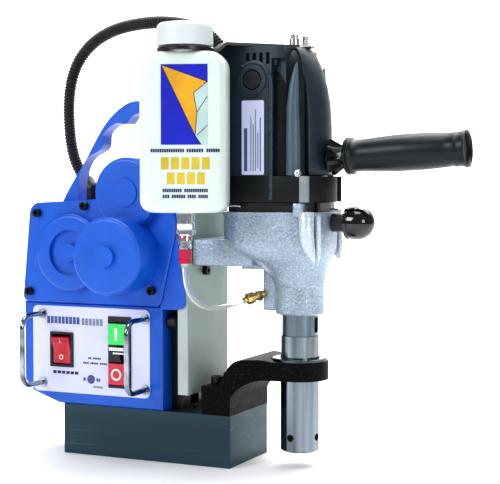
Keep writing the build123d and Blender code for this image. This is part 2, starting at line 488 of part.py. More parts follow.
with BuildPart() as panel_plate:
    with BuildSketch(Plane.XZ.offset(-BOX_FRONT + 0.02)):
        with Locations(((PANEL_X0 + PANEL_X1) / 2, (PANEL_Z0 + PANEL_Z1) / 2)):
            RectangleRounded(PANEL_X1 - PANEL_X0, PANEL_Z1 - PANEL_Z0, 6)
        with Locations((ROCKER_X, ROCKER_Z)):
            Rectangle(ROCKER_BODY[0] + 0.3, ROCKER_BODY[1] + 0.3, mode=Mode.SUBTRACT)
        with Locations((CONTACTOR_X, CONTACTOR_Z)):
            Rectangle(CONTACTOR_BODY[0] + 0.3, CONTACTOR_BODY[1] + 0.3, mode=Mode.SUBTRACT)
        with Locations([(x, z) for x, low, high in GUARD_FEET for z in (low, high)]):
            Circle(GUARD_R + FIT, mode=Mode.SUBTRACT)
    extrude(amount=PANEL_T)

with BuildPart() as guard_handles:
    for foot_x, low, high in GUARD_FEET:
        with BuildLine() as guard_path:
            FilletPolyline((foot_x, -43.2, high), (foot_x, BOX_FRONT - GUARD_REACH, high),
                           (foot_x, BOX_FRONT - GUARD_REACH, low), (foot_x, -43.2, low), radius=13)
        with BuildSketch(Plane((foot_x, -43.2, high), z_dir=(0, -1, 0))):
            Circle(GUARD_R)
        sweep(path=guard_path.line)
        for foot_z in (low, high):
            disc_y(foot_x, foot_z, GUARD_R + 2.0, PANEL_FACE - 0.1, PANEL_FACE - 2.6)

with BuildPart() as rocker_bezel:
    plate_xz(ROCKER_X, ROCKER_Z, (BEZEL_W, BEZEL_H), PANEL_FACE - 0.05, PANEL_FACE - 2.0)
    plate_xz(ROCKER_X, ROCKER_Z, ROCKER_BODY, -29.0, PANEL_FACE - 0.05)
    plate_xz(ROCKER_X, ROCKER_Z, (21.6, 30.6), -35.0, PANEL_FACE - 3.0, mode=Mode.SUBTRACT)

ROCKER_PIVOT_Y, ROCKER_TILT = -43.5, 9.0
with BuildPart() as magnet_rocker:
    with BuildSketch(Plane((ROCKER_X - 10.4, ROCKER_PIVOT_Y, ROCKER_Z), x_dir=(0, -1, 0), z_dir=(1, 0, 0))) as side:
        with BuildLine():
            Polyline((-6.0, -13.3), (7.0, -13.8), (4.6, 0), (7.0, 13.8), (-6.0, 13.3), close=True)
        make_face()
    extrude(amount=20.8)
    chamfer(magnet_rocker.edges().filter_by(Axis.X).group_by(Axis.Y)[0], 0.6)
magnet_rocker.part = magnet_rocker.part.rotate(
    Axis((ROCKER_X, ROCKER_PIVOT_Y, ROCKER_Z), (1, 0, 0)), ROCKER_TILT)

BUTTON = (22.4, 21.8)
with BuildPart() as contactor_body:
    plate_xz(CONTACTOR_X, CONTACTOR_Z, (CONTACTOR_W, CONTACTOR_H), PANEL_FACE - 0.05, PANEL_FACE - 1.6)
    plate_xz(CONTACTOR_X, CONTACTOR_Z, CONTACTOR_BODY, -28.2, PANEL_FACE - 0.05)
    for button_z in (START_Z, STOP_Z):
        plate_xz(CONTACTOR_X, button_z, (BUTTON[0] + 0.7, BUTTON[1] + 0.7), -34.0, PANEL_FACE - 3.0,
                 mode=Mode.SUBTRACT)

BUTTON_FRONT, BUTTON_BACK = -52.4, -38.0
with BuildPart() as start_button:
    plate_xz(CONTACTOR_X, START_Z, BUTTON, BUTTON_BACK, BUTTON_FRONT)
    chamfer(start_button.faces().sort_by(Axis.Y)[0].edges(), 0.8)

with BuildPart() as stop_button:
    plate_xz(CONTACTOR_X, STOP_Z, BUTTON, BUTTON_BACK, BUTTON_FRONT)
    chamfer(stop_button.faces().sort_by(Axis.Y)[0].edges(), 0.8)

with BuildPart() as control_board:
    block((-136.0, -84.0), (4.0, 5.6), (80.0, 148.0))
    for chip_x, chip_z in ((-124.0, 92.0), (-104.0, 118.0), (-124.0, 134.0)):
        plate_xz(chip_x, chip_z, (14.0, 18.0), 4.0, -8.0)

with BuildPart() as mains_gland:
    rod(Plane((GLAND_X, POD_BACK - 3.2, GLAND_Z), z_dir=(0, 1, 0)), 7.8, 3.3)
    with BuildSketch(Plane((GLAND_X, POD_BACK + 0.1, GLAND_Z), z_dir=(0, 1, 0))):
        RegularPolygon(13.0, 6)
    extrude(amount=5.0)
    with BuildSketch(Plane((GLAND_X, POD_BACK + 5.1, GLAND_Z), z_dir=(0, 1, 0))):
        Circle(10.5)
    extrude(amount=9.0, taper=12)
    rod(Plane((GLAND_X, POD_BACK - 4, GLAND_Z), z_dir=(0, 1, 0)), 4.5, 20.0, mode=Mode.SUBTRACT)

with BuildPart() as grommet:
    rod(Plane((BOX_X1 + 0.1, -32.3, 139.0), z_dir=(1, 0, 0)), 6.8, 12.0)
    fillet(grommet.edges().filter_by(GeomType.CIRCLE).group_by(Axis.X)[-1], 2.5)
    rod(Plane((BOX_X1 + 0.1, -32.3, 139.0), z_dir=(1, 0, 0)), 4.0, 13.0, mode=Mode.SUBTRACT)

CONDUIT_R = 6.5
CONDUIT = [(-97.5, 5.0, 280.5), (-105.5, 5.0, 290.7), (-111.8, 5.0, 303.3), (-116.2, 5.0, 320.8),
           (-118.4, 5.0, 344.7), (-118.2, 5.0, 368.0), (-113.6, 4.5, 391.1), (-102.6, 4.0, 411.2),
           (-84.8, 3.5, 427.0), (-61.0, 3.0, 437.3), (-33.5, 2.0, 441.6), (-5.0, 1.0, 442.3),
           (21.5, 0.5, 438.8), (43.5, 0.2, 431.3), (60.0, 0.0, 418.5), (69.5, 0.0, 405.5)]
GLAND_AIM = (Vector(*CONDUIT[1]) - Vector(*CONDUIT[0])).normalized()

with BuildPart() as conduit_gland:
    disc_z(-89.5, 5.0, 10.5, 257.1, 262.0)
    disc_z(-89.5, 5.0, 8.0, 262.0, 272.0)
    with Locations((-89.5, 5.0, 272.0)):
        Sphere(8.0)
    rod(Plane(Vector(*CONDUIT[0]) - GLAND_AIM * 10, z_dir=GLAND_AIM), 7.6, 10.0)

# ---------------------------------------------------------------- gearbox casting and its gears
SPINDLE_TEETH, MID_PINION_TEETH, SPINDLE_MODULE = 32, 14, 1.25
MID_TEETH, ARMATURE_TEETH = 32, 12
BOSSES = [(171.0, -36.5), (171.0, 36.5)]
TUBE_R = 2.75
COOLANT_TUBE = [(66.0, -82.0, 198.0), (66.0, -82.0, 184.0), (68.3, -75.8, 169.6), (74.0, -64.2, 159.4),
                (81.6, -49.6, 156.0), (90.0, -34.8, 158.7), (99.6, -23.9, 162.5)]
FITTING_L = 24.0
TUBE_AIM = (Vector(*COOLANT_TUBE[-2]) - Vector(*COOLANT_TUBE[-1])).normalized()
FITTING_PLANE = Plane(Vector(*COOLANT_TUBE[-1]) - TUBE_AIM * FITTING_L, z_dir=TUBE_AIM)


def rounded(length, width, radius, x=CASTING_X):
    """A rounded rectangle centred on the spindle's plane."""
    with Locations((x, 0)):
        RectangleRounded(length, width, radius)


with BuildPart() as gearbox_casting:
    with BuildSketch(Plane.XY.offset(224)) as bowl_rim:
        rounded(CASTING_L, CASTING_W, 34)
    extrude(amount=RIM_TOP - 224)
    with BuildSketch(Plane.XY.offset(209)) as bowl_low:
        rounded(97.0, 80.0, 30, 132.5)
    with BuildSketch(Plane.XY.offset(199)) as bowl_throat:
        rounded(78.0, 70.0, 30, 139.5)
    with BuildSketch(Plane.XY.offset(188)) as bowl_neck:
        rounded(58.0, 58.0, 27, 147.0)
    with BuildSketch(Plane.XY.offset(COLLAR_TOP)) as bowl_end:
        rounded(2 * COLLAR_R, 2 * COLLAR_R, COLLAR_R - 0.2, SPINDLE_X)
    loft([bowl_rim.sketch, bowl_low.sketch], ruled=True)
    loft([bowl_low.sketch, bowl_throat.sketch], ruled=True)
    loft([bowl_throat.sketch, bowl_neck.sketch], ruled=True)
    loft([bowl_neck.sketch, bowl_end.sketch], ruled=True)
    disc_z(SPINDLE_X, 0, COLLAR_R - 0.2, COLLAR_LOW, COLLAR_TOP)
    block((SLIDE_X1, 112.0), (-ARM_Y, ARM_Y), (ARM_LOW, ARM_TOP))
    block((96.0, 128.0), (-20.0, 20.0), (192.5, 200.0))
    block((113.5, 140.0), (-8.0, 8.0), (152.0, 192.5))
    for boss_x, boss_y in BOSSES:
        disc_z(boss_x, boss_y, 7.5, 224, RIM_TOP)
        with BuildSketch(Plane.XY.offset(224)):
            with Locations((boss_x, boss_y)):
                Circle(7.5)
        extrude(amount=-20, taper=14)
        disc_z(boss_x, boss_y, 6.0, RIM_TOP, BAND_LOW - 0.2)
        disc_z(boss_x, boss_y, 2.5 + FIT, 236, BAND_LOW, mode=Mode.SUBTRACT)
    with BuildSketch(Plane.XY.offset(CAVITY_LOW)):
        rounded(CAVITY_L, CAVITY_W, 26)
    extrude(amount=40, mode=Mode.SUBTRACT)
    disc_z(SPINDLE_X, 0, 19.0, 153.0, CAVITY_LOW + 1, mode=Mode.SUBTRACT)
    disc_z(SPINDLE_X, 0, NECK_R + GAP, COLLAR_LOW - 1, 154, mode=Mode.SUBTRACT)
    disc_z(MID_X, MID_Y, 8.0, CAVITY_LOW - 7, CAVITY_LOW + 1, mode=Mode.SUBTRACT)
    rod(Plane((186.0, 0, KNOB_Z), z_dir=(-1, 0, 0)), 5.0 + RUN, 12, mode=Mode.SUBTRACT)
    rod(FITTING_PLANE.offset(-7.1), 4.0 + FIT, 13, mode=Mode.SUBTRACT)
    for bolt_y, bolt_z in ARM_BOLTS:
        rod(Plane((SLIDE_X1 - 1, bolt_y, bolt_z), z_dir=(1, 0, 0)), BOLT_R + FIT, 34, mode=Mode.SUBTRACT)

with BuildPart() as slide_bolts:
    for bolt_y, bolt_z in ARM_BOLTS:
        socket_screw(Plane((SLIDE_X0 + 8.4, bolt_y, bolt_z), z_dir=(-1, 0, 0)), BOLT_R, BOLT_L, BOLT_HEAD_R, 7.5)
    socket_screw(Plane((SLIDE_X1 + 0.1, LOCK_SCREW_Y, LOCK_SCREW_Z), z_dir=(1, 0, 0)), LOCK_SCREW_R, 11.0,
                 LOCK_HEAD_R, 5.0)

with BuildPart() as bearing_plate:
    with BuildSketch(Plane.XY.offset(RIM_TOP - 4)):
        rounded(CAVITY_L - 2 * FIT, CAVITY_W - 2 * FIT, 26 - FIT)
    extrude(amount=4.05)
    with BuildSketch(Plane.XY.offset(RIM_TOP + 0.05)):
        rounded(CAVITY_L - 1, CAVITY_W - 1, 26)
        for boss_x, boss_y in BOSSES:
            with Locations((boss_x, boss_y)):
                Circle(6.0 + 2 * FIT, mode=Mode.SUBTRACT)
    extrude(amount=BAND_LOW - 0.1 - RIM_TOP - 0.05)
    disc_z(SPINDLE_X, 0, 14.0 + FIT, 240, 254.0, mode=Mode.SUBTRACT)
    disc_z(MID_X, MID_Y, 8.0 + FIT, 240, 254.0, mode=Mode.SUBTRACT)
    disc_z(MOTOR_X, 0, 9.0, 240, 260, mode=Mode.SUBTRACT)
    disc_z(MOTOR_X, 0, 12.0 + FIT, 250, 260, mode=Mode.SUBTRACT)

with BuildPart() as head_bearings:
    for x, y, inner, outer, low, high in ((SPINDLE_X, 0, 12.5, 18.9, 158, 170), (SPINDLE_X, 0, 8.0, 14.0, 246.2, 253.8),
                                          (MID_X, MID_Y, 4.0, 7.9, 208, 213.8), (MID_X, MID_Y, 4.0, 8.0, 247, 253.8),
                                          (MOTOR_X, 0, 5.0, 12.0, 250.2, 258.6), (MOTOR_X, 0, 5.0, 9.0, 386.2, 394)):
        disc_z(x, y, outer, low, high)
        disc_z(x, y, inner + RUN, low - 1, high + 1, mode=Mode.SUBTRACT)

with BuildPart() as spindle:
    disc_z(SPINDLE_X, 0, NECK_R, ARBOR_TOP + 0.1, 153.6)
    disc_z(SPINDLE_X, 0, 12.5, 153.6, 216.0)
    disc_z(SPINDLE_X, 0, 8.0, 216.0, 253.0)
    gear(Plane.XY.offset(217), (SPINDLE_X, 0), SPINDLE_MODULE, SPINDLE_TEETH,
         degrees(atan2(MID_Y, MID_X - SPINDLE_X)), 13)
    disc_z(SPINDLE_X, 0, 8.0 + FIT, 120, 176, mode=Mode.SUBTRACT)
    block((SPINDLE_X + 11, SPINDLE_X + 30), (-4.5, 4.5), (132.0, 147.0), mode=Mode.SUBTRACT)

with BuildPart() as arbor:
    disc_z(SPINDLE_X, 0, ARBOR_R, ARBOR_LOW, ARBOR_TOP)
    chamfer(arbor.edges().filter_by(GeomType.CIRCLE).group_by(Axis.Z)[0], 1.5)
    disc_z(SPINDLE_X, 0, 8.0, ARBOR_TOP, 172.0)
    disc_z(SPINDLE_X, 0, WELDON_R, ARBOR_LOW - 1, ARBOR_LOW + WELDON_DEPTH, mode=Mode.SUBTRACT)
    disc_z(SPINDLE_X, 0, 4.0, ARBOR_LOW, 110, mode=Mode.SUBTRACT)
    for angle in (-97.0, -7.0):
        rod(Plane((SPINDLE_X, 0, 29.5), z_dir=(cos(radians(angle)), sin(radians(angle)), 0)), 3.6, 24,
            mode=Mode.SUBTRACT)

with BuildPart() as set_screws:
    for angle in (-97.0, -7.0):
        direction = Vector(cos(radians(angle)), sin(radians(angle)), 0)
        rod(Plane(Vector(SPINDLE_X, 0, 29.5) + direction * 10.3, z_dir=direction), 3.5, 6.7)
        with BuildSketch(Plane(Vector(SPINDLE_X, 0, 29.5) + direction * 17.0, z_dir=direction)):
            RegularPolygon(2.1, 6)
        extrude(amount=-4, mode=Mode.SUBTRACT)

with BuildPart() as intermediate_shaft:
    disc_z(MID_X, MID_Y, 4.0, 208.2, 253.6)
    disc_z(MID_X, MID_Y, 6.0, 214.4, 217.0)
    gear(Plane.XY.offset(216.5), (MID_X, MID_Y), SPINDLE_MODULE, MID_PINION_TEETH,
         degrees(atan2(-MID_Y, SPINDLE_X - MID_X)) + 180 / MID_PINION_TEETH, 14)
    gear(Plane.XY.offset(234), (MID_X, MID_Y), 1.0, MID_TEETH, degrees(atan2(-MID_Y, MOTOR_X - MID_X)), 7)
    disc_z(MID_X, MID_Y, 6.0, 230, 234)

with BuildPart() as armature:
    gear(Plane.XY.offset(233.5), (MOTOR_X, 0), 1.0, ARMATURE_TEETH,
         degrees(atan2(MID_Y, MID_X - MOTOR_X)) + 180 / ARMATURE_TEETH, 8)
    disc_z(MOTOR_X, 0, 5.0, 241.5, 393.8)
    disc_z(MOTOR_X, 0, 21.0, 290, 345)
    disc_z(MOTOR_X, 0, 13.0, 350, 366)
    disc_z(MOTOR_X, 0, 14.0, 368, 383)
    disc_z(MOTOR_X, 0, 12.0, 262, 290)
    disc_z(MOTOR_X, 0, 31.0, 268, 271)
    with BuildSketch(Plane.XY.offset(271)):
        with Locations((MOTOR_X, 0)):
            with PolarLocations(20.0, 12):
                Rectangle(18.0, 1.6)
    extrude(amount=10)

# ---------------------------------------------------------------- motor housing
def motor_profile(half):
    """Side profile of the motor: left or right of the seam, with the curved right-hand shoulder."""
    seam_x = 150.0
    with BuildLine() as outline:
        if half == "left":
            Polyline((seam_x - 0.1, BAND_TOP), (MOTOR_LEFT, BAND_TOP), (MOTOR_LEFT, MOTOR_TOP - 3),
                     (MOTOR_LEFT + 3, MOTOR_TOP), (seam_x - 0.1, MOTOR_TOP), close=True)
        else:
            Line((seam_x, MOTOR_TOP), (seam_x, BAND_TOP))
            Line((seam_x, BAND_TOP), (MOTOR_RIGHT, BAND_TOP))
            Line((MOTOR_RIGHT, BAND_TOP), (MOTOR_RIGHT, 325.0))
            ThreePointArc((MOTOR_RIGHT, 325.0), (179.5, 372.0), (164.0, MOTOR_TOP))
            Line((164.0, MOTOR_TOP), (seam_x, MOTOR_TOP))
    return outline.line


def motor_plan():
    """Plan of the motor: square on the left, round on the right."""
    with BuildLine() as outline:
        Line((MOTOR_RIGHT - 44.0, -MOTOR_Y), (MOTOR_LEFT, -MOTOR_Y))
        Line((MOTOR_LEFT, -MOTOR_Y), (MOTOR_LEFT, MOTOR_Y))
        Line((MOTOR_LEFT, MOTOR_Y), (MOTOR_RIGHT - 44.0, MOTOR_Y))
        ThreePointArc((MOTOR_RIGHT - 44.0, MOTOR_Y), (MOTOR_RIGHT, 0), (MOTOR_RIGHT - 44.0, -MOTOR_Y))
    return outline.line


def motor_half(half):
    """One half of the motor housing, solid, with the screw groove at its front and back corners."""
    with BuildSketch(Plane.XZ.offset(-60)) as side:
        add(motor_profile(half))
        make_face()
    extrude(side.sketch, amount=120)
    with BuildSketch(Plane.XY.offset(BAND_TOP)) as plan:
        add(motor_plan())
        make_face()
    extrude(plan.sketch, amount=150, mode=Mode.INTERSECT)
    with BuildSketch(Plane.XZ.offset(-60)) as groove:
        with BuildLine():
            Polyline((138.5, 250.0), (170.5, 250.0), (153.0, 396.0), (138.5, 396.0), close=True)
        make_face()
    for back, front in ((60.0, 35.0), (-35.0, -60.0)):
        with BuildSketch(Plane.XZ.offset(-back)) as cut:
            add(groove.sketch_local)
        extrude(cut.sketch, amount=back - front, mode=Mode.SUBTRACT)


STATOR_R = 36.0
with BuildPart() as motor_housing:
    motor_half("left")
    disc_z(MOTOR_X, 0, STATOR_R + FIT, BAND_TOP - 1, 384.0, mode=Mode.SUBTRACT)
    block((MOTOR_X, 151), (-24, 24), (BAND_TOP - 1, 384.0), mode=Mode.SUBTRACT)
    disc_z(MOTOR_X, 0, 9.0 + FIT, 383, 394.2, mode=Mode.SUBTRACT)
    for side in (-1, 1):
        disc_y(MOTOR_X + 0.4, BRUSH_Z, 14.7, side * MOTOR_Y + 1.2, side * MOTOR_Y - 1.2)
        disc_y(MOTOR_X + 0.4, BRUSH_Z, 9.6 + FIT, side * MOTOR_Y + 5, side * MOTOR_Y - 5, mode=Mode.SUBTRACT)
    for slot in range(4):
        block((112.0 + 7.0 * slot, 115.5 + 7.0 * slot), (-46, 46), (390.5, 401.5), mode=Mode.SUBTRACT)
    for side in (-1, 1):
        block((110.0, 142.0), tuple(sorted((side * 12, side * 40))), (389.5, 402.5))
    disc_z(SCREW_X, 0, 3.0 + FIT, 396.0, MOTOR_TOP + 1, mode=Mode.SUBTRACT)

with BuildPart() as motor_shell:
    motor_half("right")
    disc_z(MOTOR_X, 0, STATOR_R + 2, BAND_TOP - 1, 384.0, mode=Mode.SUBTRACT)
    block((149.0, 174.0), (-30, 30), (BAND_TOP - 1, 350.0), mode=Mode.SUBTRACT)
    rod(Plane((160.0, 0, HANDLE_Z - 0.8), z_dir=(1, 0, 0)), 9.0, 20.0)
    rod(Plane((158.0, 0, HANDLE_Z - 1.1), z_dir=(cos(radians(HANDLE_TILT)), 0, sin(radians(HANDLE_TILT)))),
        5.0 + FIT, 40.0, mode=Mode.SUBTRACT)

with BuildPart() as motor_band:
    with BuildSketch(Plane.XY.offset(BAND_LOW)):
        with Locations((130.2, 0)):
            RectangleRounded(111.4, 90.0, 36)
    extrude(amount=BAND_TOP - 0.1 - BAND_LOW)
    disc_z(MOTOR_X, 0, STATOR_R, BAND_LOW + 3, BAND_TOP, mode=Mode.SUBTRACT)
    disc_z(MOTOR_X, 0, 12.5, BAND_LOW - 1, BAND_TOP, mode=Mode.SUBTRACT)

with BuildPart() as stator:
    disc_z(MOTOR_X, 0, STATOR_R - 0.1, 290, 345)
    disc_z(MOTOR_X, 0, 31.0, 284.8, 352)
    disc_z(MOTOR_X, 0, 22.0, 280, 360, mode=Mode.SUBTRACT)
    block((MOTOR_X + 31.0, MOTOR_X + 40), (-30, 30), (280, 360), mode=Mode.SUBTRACT)

with BuildPart() as brush_caps:
    for side in (-1, 1):
        disc_y(MOTOR_X + 0.4, BRUSH_Z, 9.6, side * MOTOR_Y + (1.6 if side > 0 else 4.8),
               side * MOTOR_Y - (4.8 if side > 0 else 1.6))
        block((MOTOR_X - 0.6, MOTOR_X + 1.4), tuple(sorted((side * (MOTOR_Y + 0.6), side * (MOTOR_Y + 3)))),
              (BRUSH_Z - 5, BRUSH_Z + 5), mode=Mode.SUBTRACT)

# ---------------------------------------------------------------- side handle and selector knob
HANDLE_PLANE = Plane((181.0, 0, HANDLE_Z), z_dir=(cos(radians(HANDLE_TILT)), 0, sin(radians(HANDLE_TILT))))

with BuildPart() as handle_mount:
    with BuildSketch(HANDLE_PLANE.offset(4.0)):
        RegularPolygon(18.5, 6)
    with BuildSketch(HANDLE_PLANE.offset(16.5)):
        RegularPolygon(11.5, 6)
    loft()
    rod(HANDLE_PLANE.offset(-19.0), 5.0, 60.0)

with BuildPart() as handle_grip:
    with BuildSketch(Plane(HANDLE_PLANE.origin, x_dir=HANDLE_PLANE.z_dir, z_dir=(0, -1, 0))):
        with BuildLine():
            Polyline((16.7, 0), (16.7, 10.5), (18.0, 16.4), (19.6, 18.3), (23.4, 18.3), (25.0, 15.6), (28.0, 15.2))
            Spline((28.0, 15.2), (45.0, 16.2), (68.0, 17.6), (93.0, 17.6), (124.0, 15.9))
            Polyline((124.0, 15.9), (126.0, 16.8), (130.0, 16.5), (136.0, 17.8), (136.8, 15.0), (133.0, 13.5),
                     (133.0, 0))
            Line((133.0, 0), (16.7, 0))
        make_face()
    revolve(axis=Axis(HANDLE_PLANE.origin, HANDLE_PLANE.z_dir))
    rod(HANDLE_PLANE, 5.0 + FIT, 42, mode=Mode.SUBTRACT)

KNOB_PLANE = Plane((0, 0, KNOB_Z), z_dir=(1, 0, 0))
with BuildPart() as selector_knob:
    rod(KNOB_PLANE.offset(184.4), 9.0, 15.0)
    rod(KNOB_PLANE.offset(199.0), 16.4, 27.5)
    fillet(selector_knob.edges().filter_by(GeomType.CIRCLE).group_by(Axis.X)[-1], 15)
    fillet(selector_knob.edges().filter_by(GeomType.CIRCLE).sort_by(SortBy.RADIUS)[-1], 1.2)
    rod(KNOB_PLANE.offset(175.5), 5.0, 10.0)

# ---------------------------------------------------------------- coolant bottle, its hanger and valve
def bottle_plan(z, grow=0.0):
    """The bottle's rounded oblong at a height, turned towards the operator."""
    turned = Plane((BOTTLE_X, BOTTLE_Y, z), x_dir=(cos(radians(BOTTLE_TURN)), sin(radians(BOTTLE_TURN)), 0),
                   z_dir=(0, 0, 1))
    with BuildSketch(turned) as profile:
        RectangleRounded(BOTTLE_L + 2 * grow, BOTTLE_D + 2 * grow, 13 + grow)
    return profile.sketch


BOTTLE_WALL, NECK_TOP = 2.0, 421.0
with BuildPart() as bottle:
    extrude(bottle_plan(BOTTLE_LOW), amount=BOTTLE_TOP - BOTTLE_LOW)
    fillet(bottle.edges().group_by(Axis.Z)[-1], 8)
    fillet(bottle.edges().group_by(Axis.Z)[0], 4.5)
    disc_z(BOTTLE_X, BOTTLE_Y, 20.0, BOTTLE_TOP - 3, NECK_TOP)
    extrude(bottle_plan(BOTTLE_LOW + BOTTLE_WALL, -BOTTLE_WALL), amount=BOTTLE_TOP - BOTTLE_LOW - 10,
            mode=Mode.SUBTRACT)
    disc_z(BOTTLE_X, BOTTLE_Y, 18.0, BOTTLE_TOP - 12, NECK_TOP + 1, mode=Mode.SUBTRACT)
    disc_z(BOTTLE_X, BOTTLE_Y, 5.8 + FIT, BOTTLE_LOW - 1, BOTTLE_LOW + 5, mode=Mode.SUBTRACT)

with BuildPart() as bottle_cap:
    disc_z(BOTTLE_X, BOTTLE_Y, 27.0, 406.2, 428.5)
    fillet(bottle_cap.edges().group_by(Axis.Z)[-1], 2)
    disc_z(BOTTLE_X, BOTTLE_Y, 20.0 + GAP, 405, NECK_TOP + GAP, mode=Mode.SUBTRACT)

HANGER_Z, HANGER_T, HANGER_W = 401.6, 3.0, 20.0
STRAP_AIM = Vector(SCREW_X - BOTTLE_X, -BOTTLE_Y, 0).normalized()
STRAP_PLANE = Plane((BOTTLE_X, BOTTLE_Y, 0), x_dir=STRAP_AIM, z_dir=(STRAP_AIM.Y, -STRAP_AIM.X, 0))
SCREW_REACH = Vector(SCREW_X - BOTTLE_X, -BOTTLE_Y, 0).length
STRAP_RISE = MOTOR_TOP + 0.2 - HANGER_Z

with BuildPart() as bottle_hanger:
    with BuildSketch(STRAP_PLANE.offset(-HANGER_W / 2)):
        with BuildLine():
            Polyline((21.5, HANGER_Z), (30.5, HANGER_Z), (39.0, HANGER_Z + STRAP_RISE),
                     (SCREW_REACH + 15, HANGER_Z + STRAP_RISE), (SCREW_REACH + 15, HANGER_Z + STRAP_RISE + HANGER_T),
                     (38.0, HANGER_Z + STRAP_RISE + HANGER_T), (29.5, HANGER_Z + HANGER_T),
                     (21.5, HANGER_Z + HANGER_T), close=True)
        make_face()
    extrude(amount=HANGER_W)
    disc_z(BOTTLE_X, BOTTLE_Y, 26.5, HANGER_Z, HANGER_Z + HANGER_T)
    disc_z(BOTTLE_X, BOTTLE_Y, 20.0 + FIT, HANGER_Z - 1, HANGER_Z + HANGER_T + 1, mode=Mode.SUBTRACT)
    disc_z(SCREW_X, 0, 3.0 + FIT, HANGER_Z, HANGER_Z + 20, mode=Mode.SUBTRACT)

with BuildPart() as hanger_screw:
    socket_screw(Plane((SCREW_X, 0, HANGER_Z + STRAP_RISE + HANGER_T + 0.1)), 3.0, 14.0, 5.0, 7.0)

with BuildPart() as valve_body:
    for radius, low, high in ((1.9, 198.0, 216.0), (6.6, 215.6, 229.0), (10.0, 229.0, 233.5), (9.0, 233.5, 249.3),
                              (5.8, 249.3, 256.0)):
        disc_z(BOTTLE_X, BOTTLE_Y, radius, low, high)
    disc_z(BOTTLE_X, BOTTLE_Y, 2.8, 200.5, 216.0)
    disc_z(BOTTLE_X, BOTTLE_Y, 1.1, 190, 260, mode=Mode.SUBTRACT)

with BuildPart() as valve_sleeve:
    disc_z(BOTTLE_X, BOTTLE_Y, 6.0, 201.0, 215.2)
    fillet(valve_sleeve.edges().filter_by(GeomType.CIRCLE), 1)
    disc_z(BOTTLE_X, BOTTLE_Y, 2.8 + RUN, 199, 217, mode=Mode.SUBTRACT)

with BuildPart() as coolant_fitting:
    rod(FITTING_PLANE.offset(-6.9), 4.0, 12.0)
    with BuildSketch(FITTING_PLANE.offset(4.3)):
        RegularPolygon(6.5, 6)
    extrude(amount=5.5)
    rod(FITTING_PLANE.offset(4.0), 4.4, 11.0)
    rod(FITTING_PLANE.offset(15.0), 3.4, FITTING_L - 15)
    rod(FITTING_PLANE.offset(-8), 1.2, 40, mode=Mode.SUBTRACT)

# ---------------------------------------------------------------- coolant tube and motor conduit
def tube_volume(piece, points, radius, name):
    """Print a tube's volume beside its section times its route."""
    route = sum((Vector(*b) - Vector(*a)).length for a, b in zip(points, points[1:]))
    print(name, "volume", round(piece.part.volume), "section x route", round(pi * radius ** 2 * route))


with BuildPart() as coolant_tube:
    with BuildLine() as tube_path:
        FilletPolyline(*COOLANT_TUBE, radius=route_radii(COOLANT_TUBE, "coolant tube"))
    with BuildSketch(Plane(tube_path.line @ 0, z_dir=tube_path.line % 0)):
        Circle(TUBE_R)
    sweep()
tube_volume(coolant_tube, COOLANT_TUBE, TUBE_R, "coolant tube")

with BuildPart() as conduit:
    with BuildLine() as conduit_path:
        FilletPolyline(*CONDUIT, radius=route_radii(CONDUIT, "conduit"))
    with BuildSketch(Plane(conduit_path.line @ 0, z_dir=conduit_path.line % 0)):
        Circle(CONDUIT_R)
    sweep()
tube_volume(conduit, CONDUIT, CONDUIT_R, "conduit")

MOTOR_AIM = (Vector(*CONDUIT[-1]) - Vector(*CONDUIT[-2])).normalized()
with BuildPart() as motor_gland:
    rod(Plane(CONDUIT[-1], z_dir=(MOTOR_AIM.X, 0, MOTOR_AIM.Z)), 8.5, 13.0)
    block((MOTOR_LEFT - 0.1, MOTOR_LEFT + 40), (-20, 20), (370, 412), mode=Mode.SUBTRACT)
    rod(Plane(CONDUIT[-1], z_dir=(MOTOR_AIM.X, 0, MOTOR_AIM.Z)), 4.5, 3.0)

# ---------------------------------------------------------------- one STEP file for each piece
PIECES = {
    "magnet_body": magnet_body, "magnet_coil": magnet_coil, "magnet_seal": magnet_seal, "column": column,
    "gibs": gibs, "arbor_bracket": arbor_bracket, "support_bush": support_bush, "foot_bolts": foot_bolts,
    "slide": slide, "rack": rack, "feed_shaft": feed_shaft, "feed_bushes": feed_bushes,
    "feed_gear": feed_gear, "feed_clutch": feed_clutch, "motor_gear": motor_gear, "cam_gear": cam_gear,
    "feed_motor": feed_motor, "feed_housing": feed_housing, "feed_cover": feed_cover,
    "cover_screws": cover_screws, "control_box": control_box, "box_back_cover": box_back_cover,
    "panel_plate": panel_plate, "guard_handles": guard_handles, "rocker_bezel": rocker_bezel,
    "magnet_rocker": magnet_rocker, "contactor_body": contactor_body, "start_button": start_button,
    "stop_button": stop_button, "control_board": control_board, "mains_gland": mains_gland,
    "grommet": grommet, "conduit_gland": conduit_gland, "gearbox_casting": gearbox_casting,
    "slide_bolts": slide_bolts, "bearing_plate": bearing_plate, "head_bearings": head_bearings,
    "spindle": spindle, "arbor": arbor, "set_screws": set_screws, "intermediate_shaft": intermediate_shaft,
    "armature": armature, "motor_housing": motor_housing, "motor_shell": motor_shell,
    "motor_band": motor_band, "stator": stator, "brush_caps": brush_caps, "handle_mount": handle_mount,
    "handle_grip": handle_grip, "selector_knob": selector_knob, "bottle": bottle, "bottle_cap": bottle_cap,
    "bottle_hanger": bottle_hanger, "hanger_screw": hanger_screw, "valve_body": valve_body,
    "valve_sleeve": valve_sleeve, "coolant_fitting": coolant_fitting, "coolant_tube": coolant_tube,
    "conduit": conduit, "motor_gland": motor_gland,
}
for piece_name, finished in PIECES.items():
    save(finished, piece_name)
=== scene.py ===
"""Looks of the magnetic drill press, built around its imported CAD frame.

Everything is in metres in the row frame: +X towards the spindle, -Y towards the operator, +Z up. Local sizes
are written in millimetres and multiplied by MM. Each material and each piece has its own short function.
"""
from math import cos, pi, radians, sin, sqrt

import bmesh
import bpy
from mathutils import Matrix, Vector
from mathutils.bvhtree import BVHTree


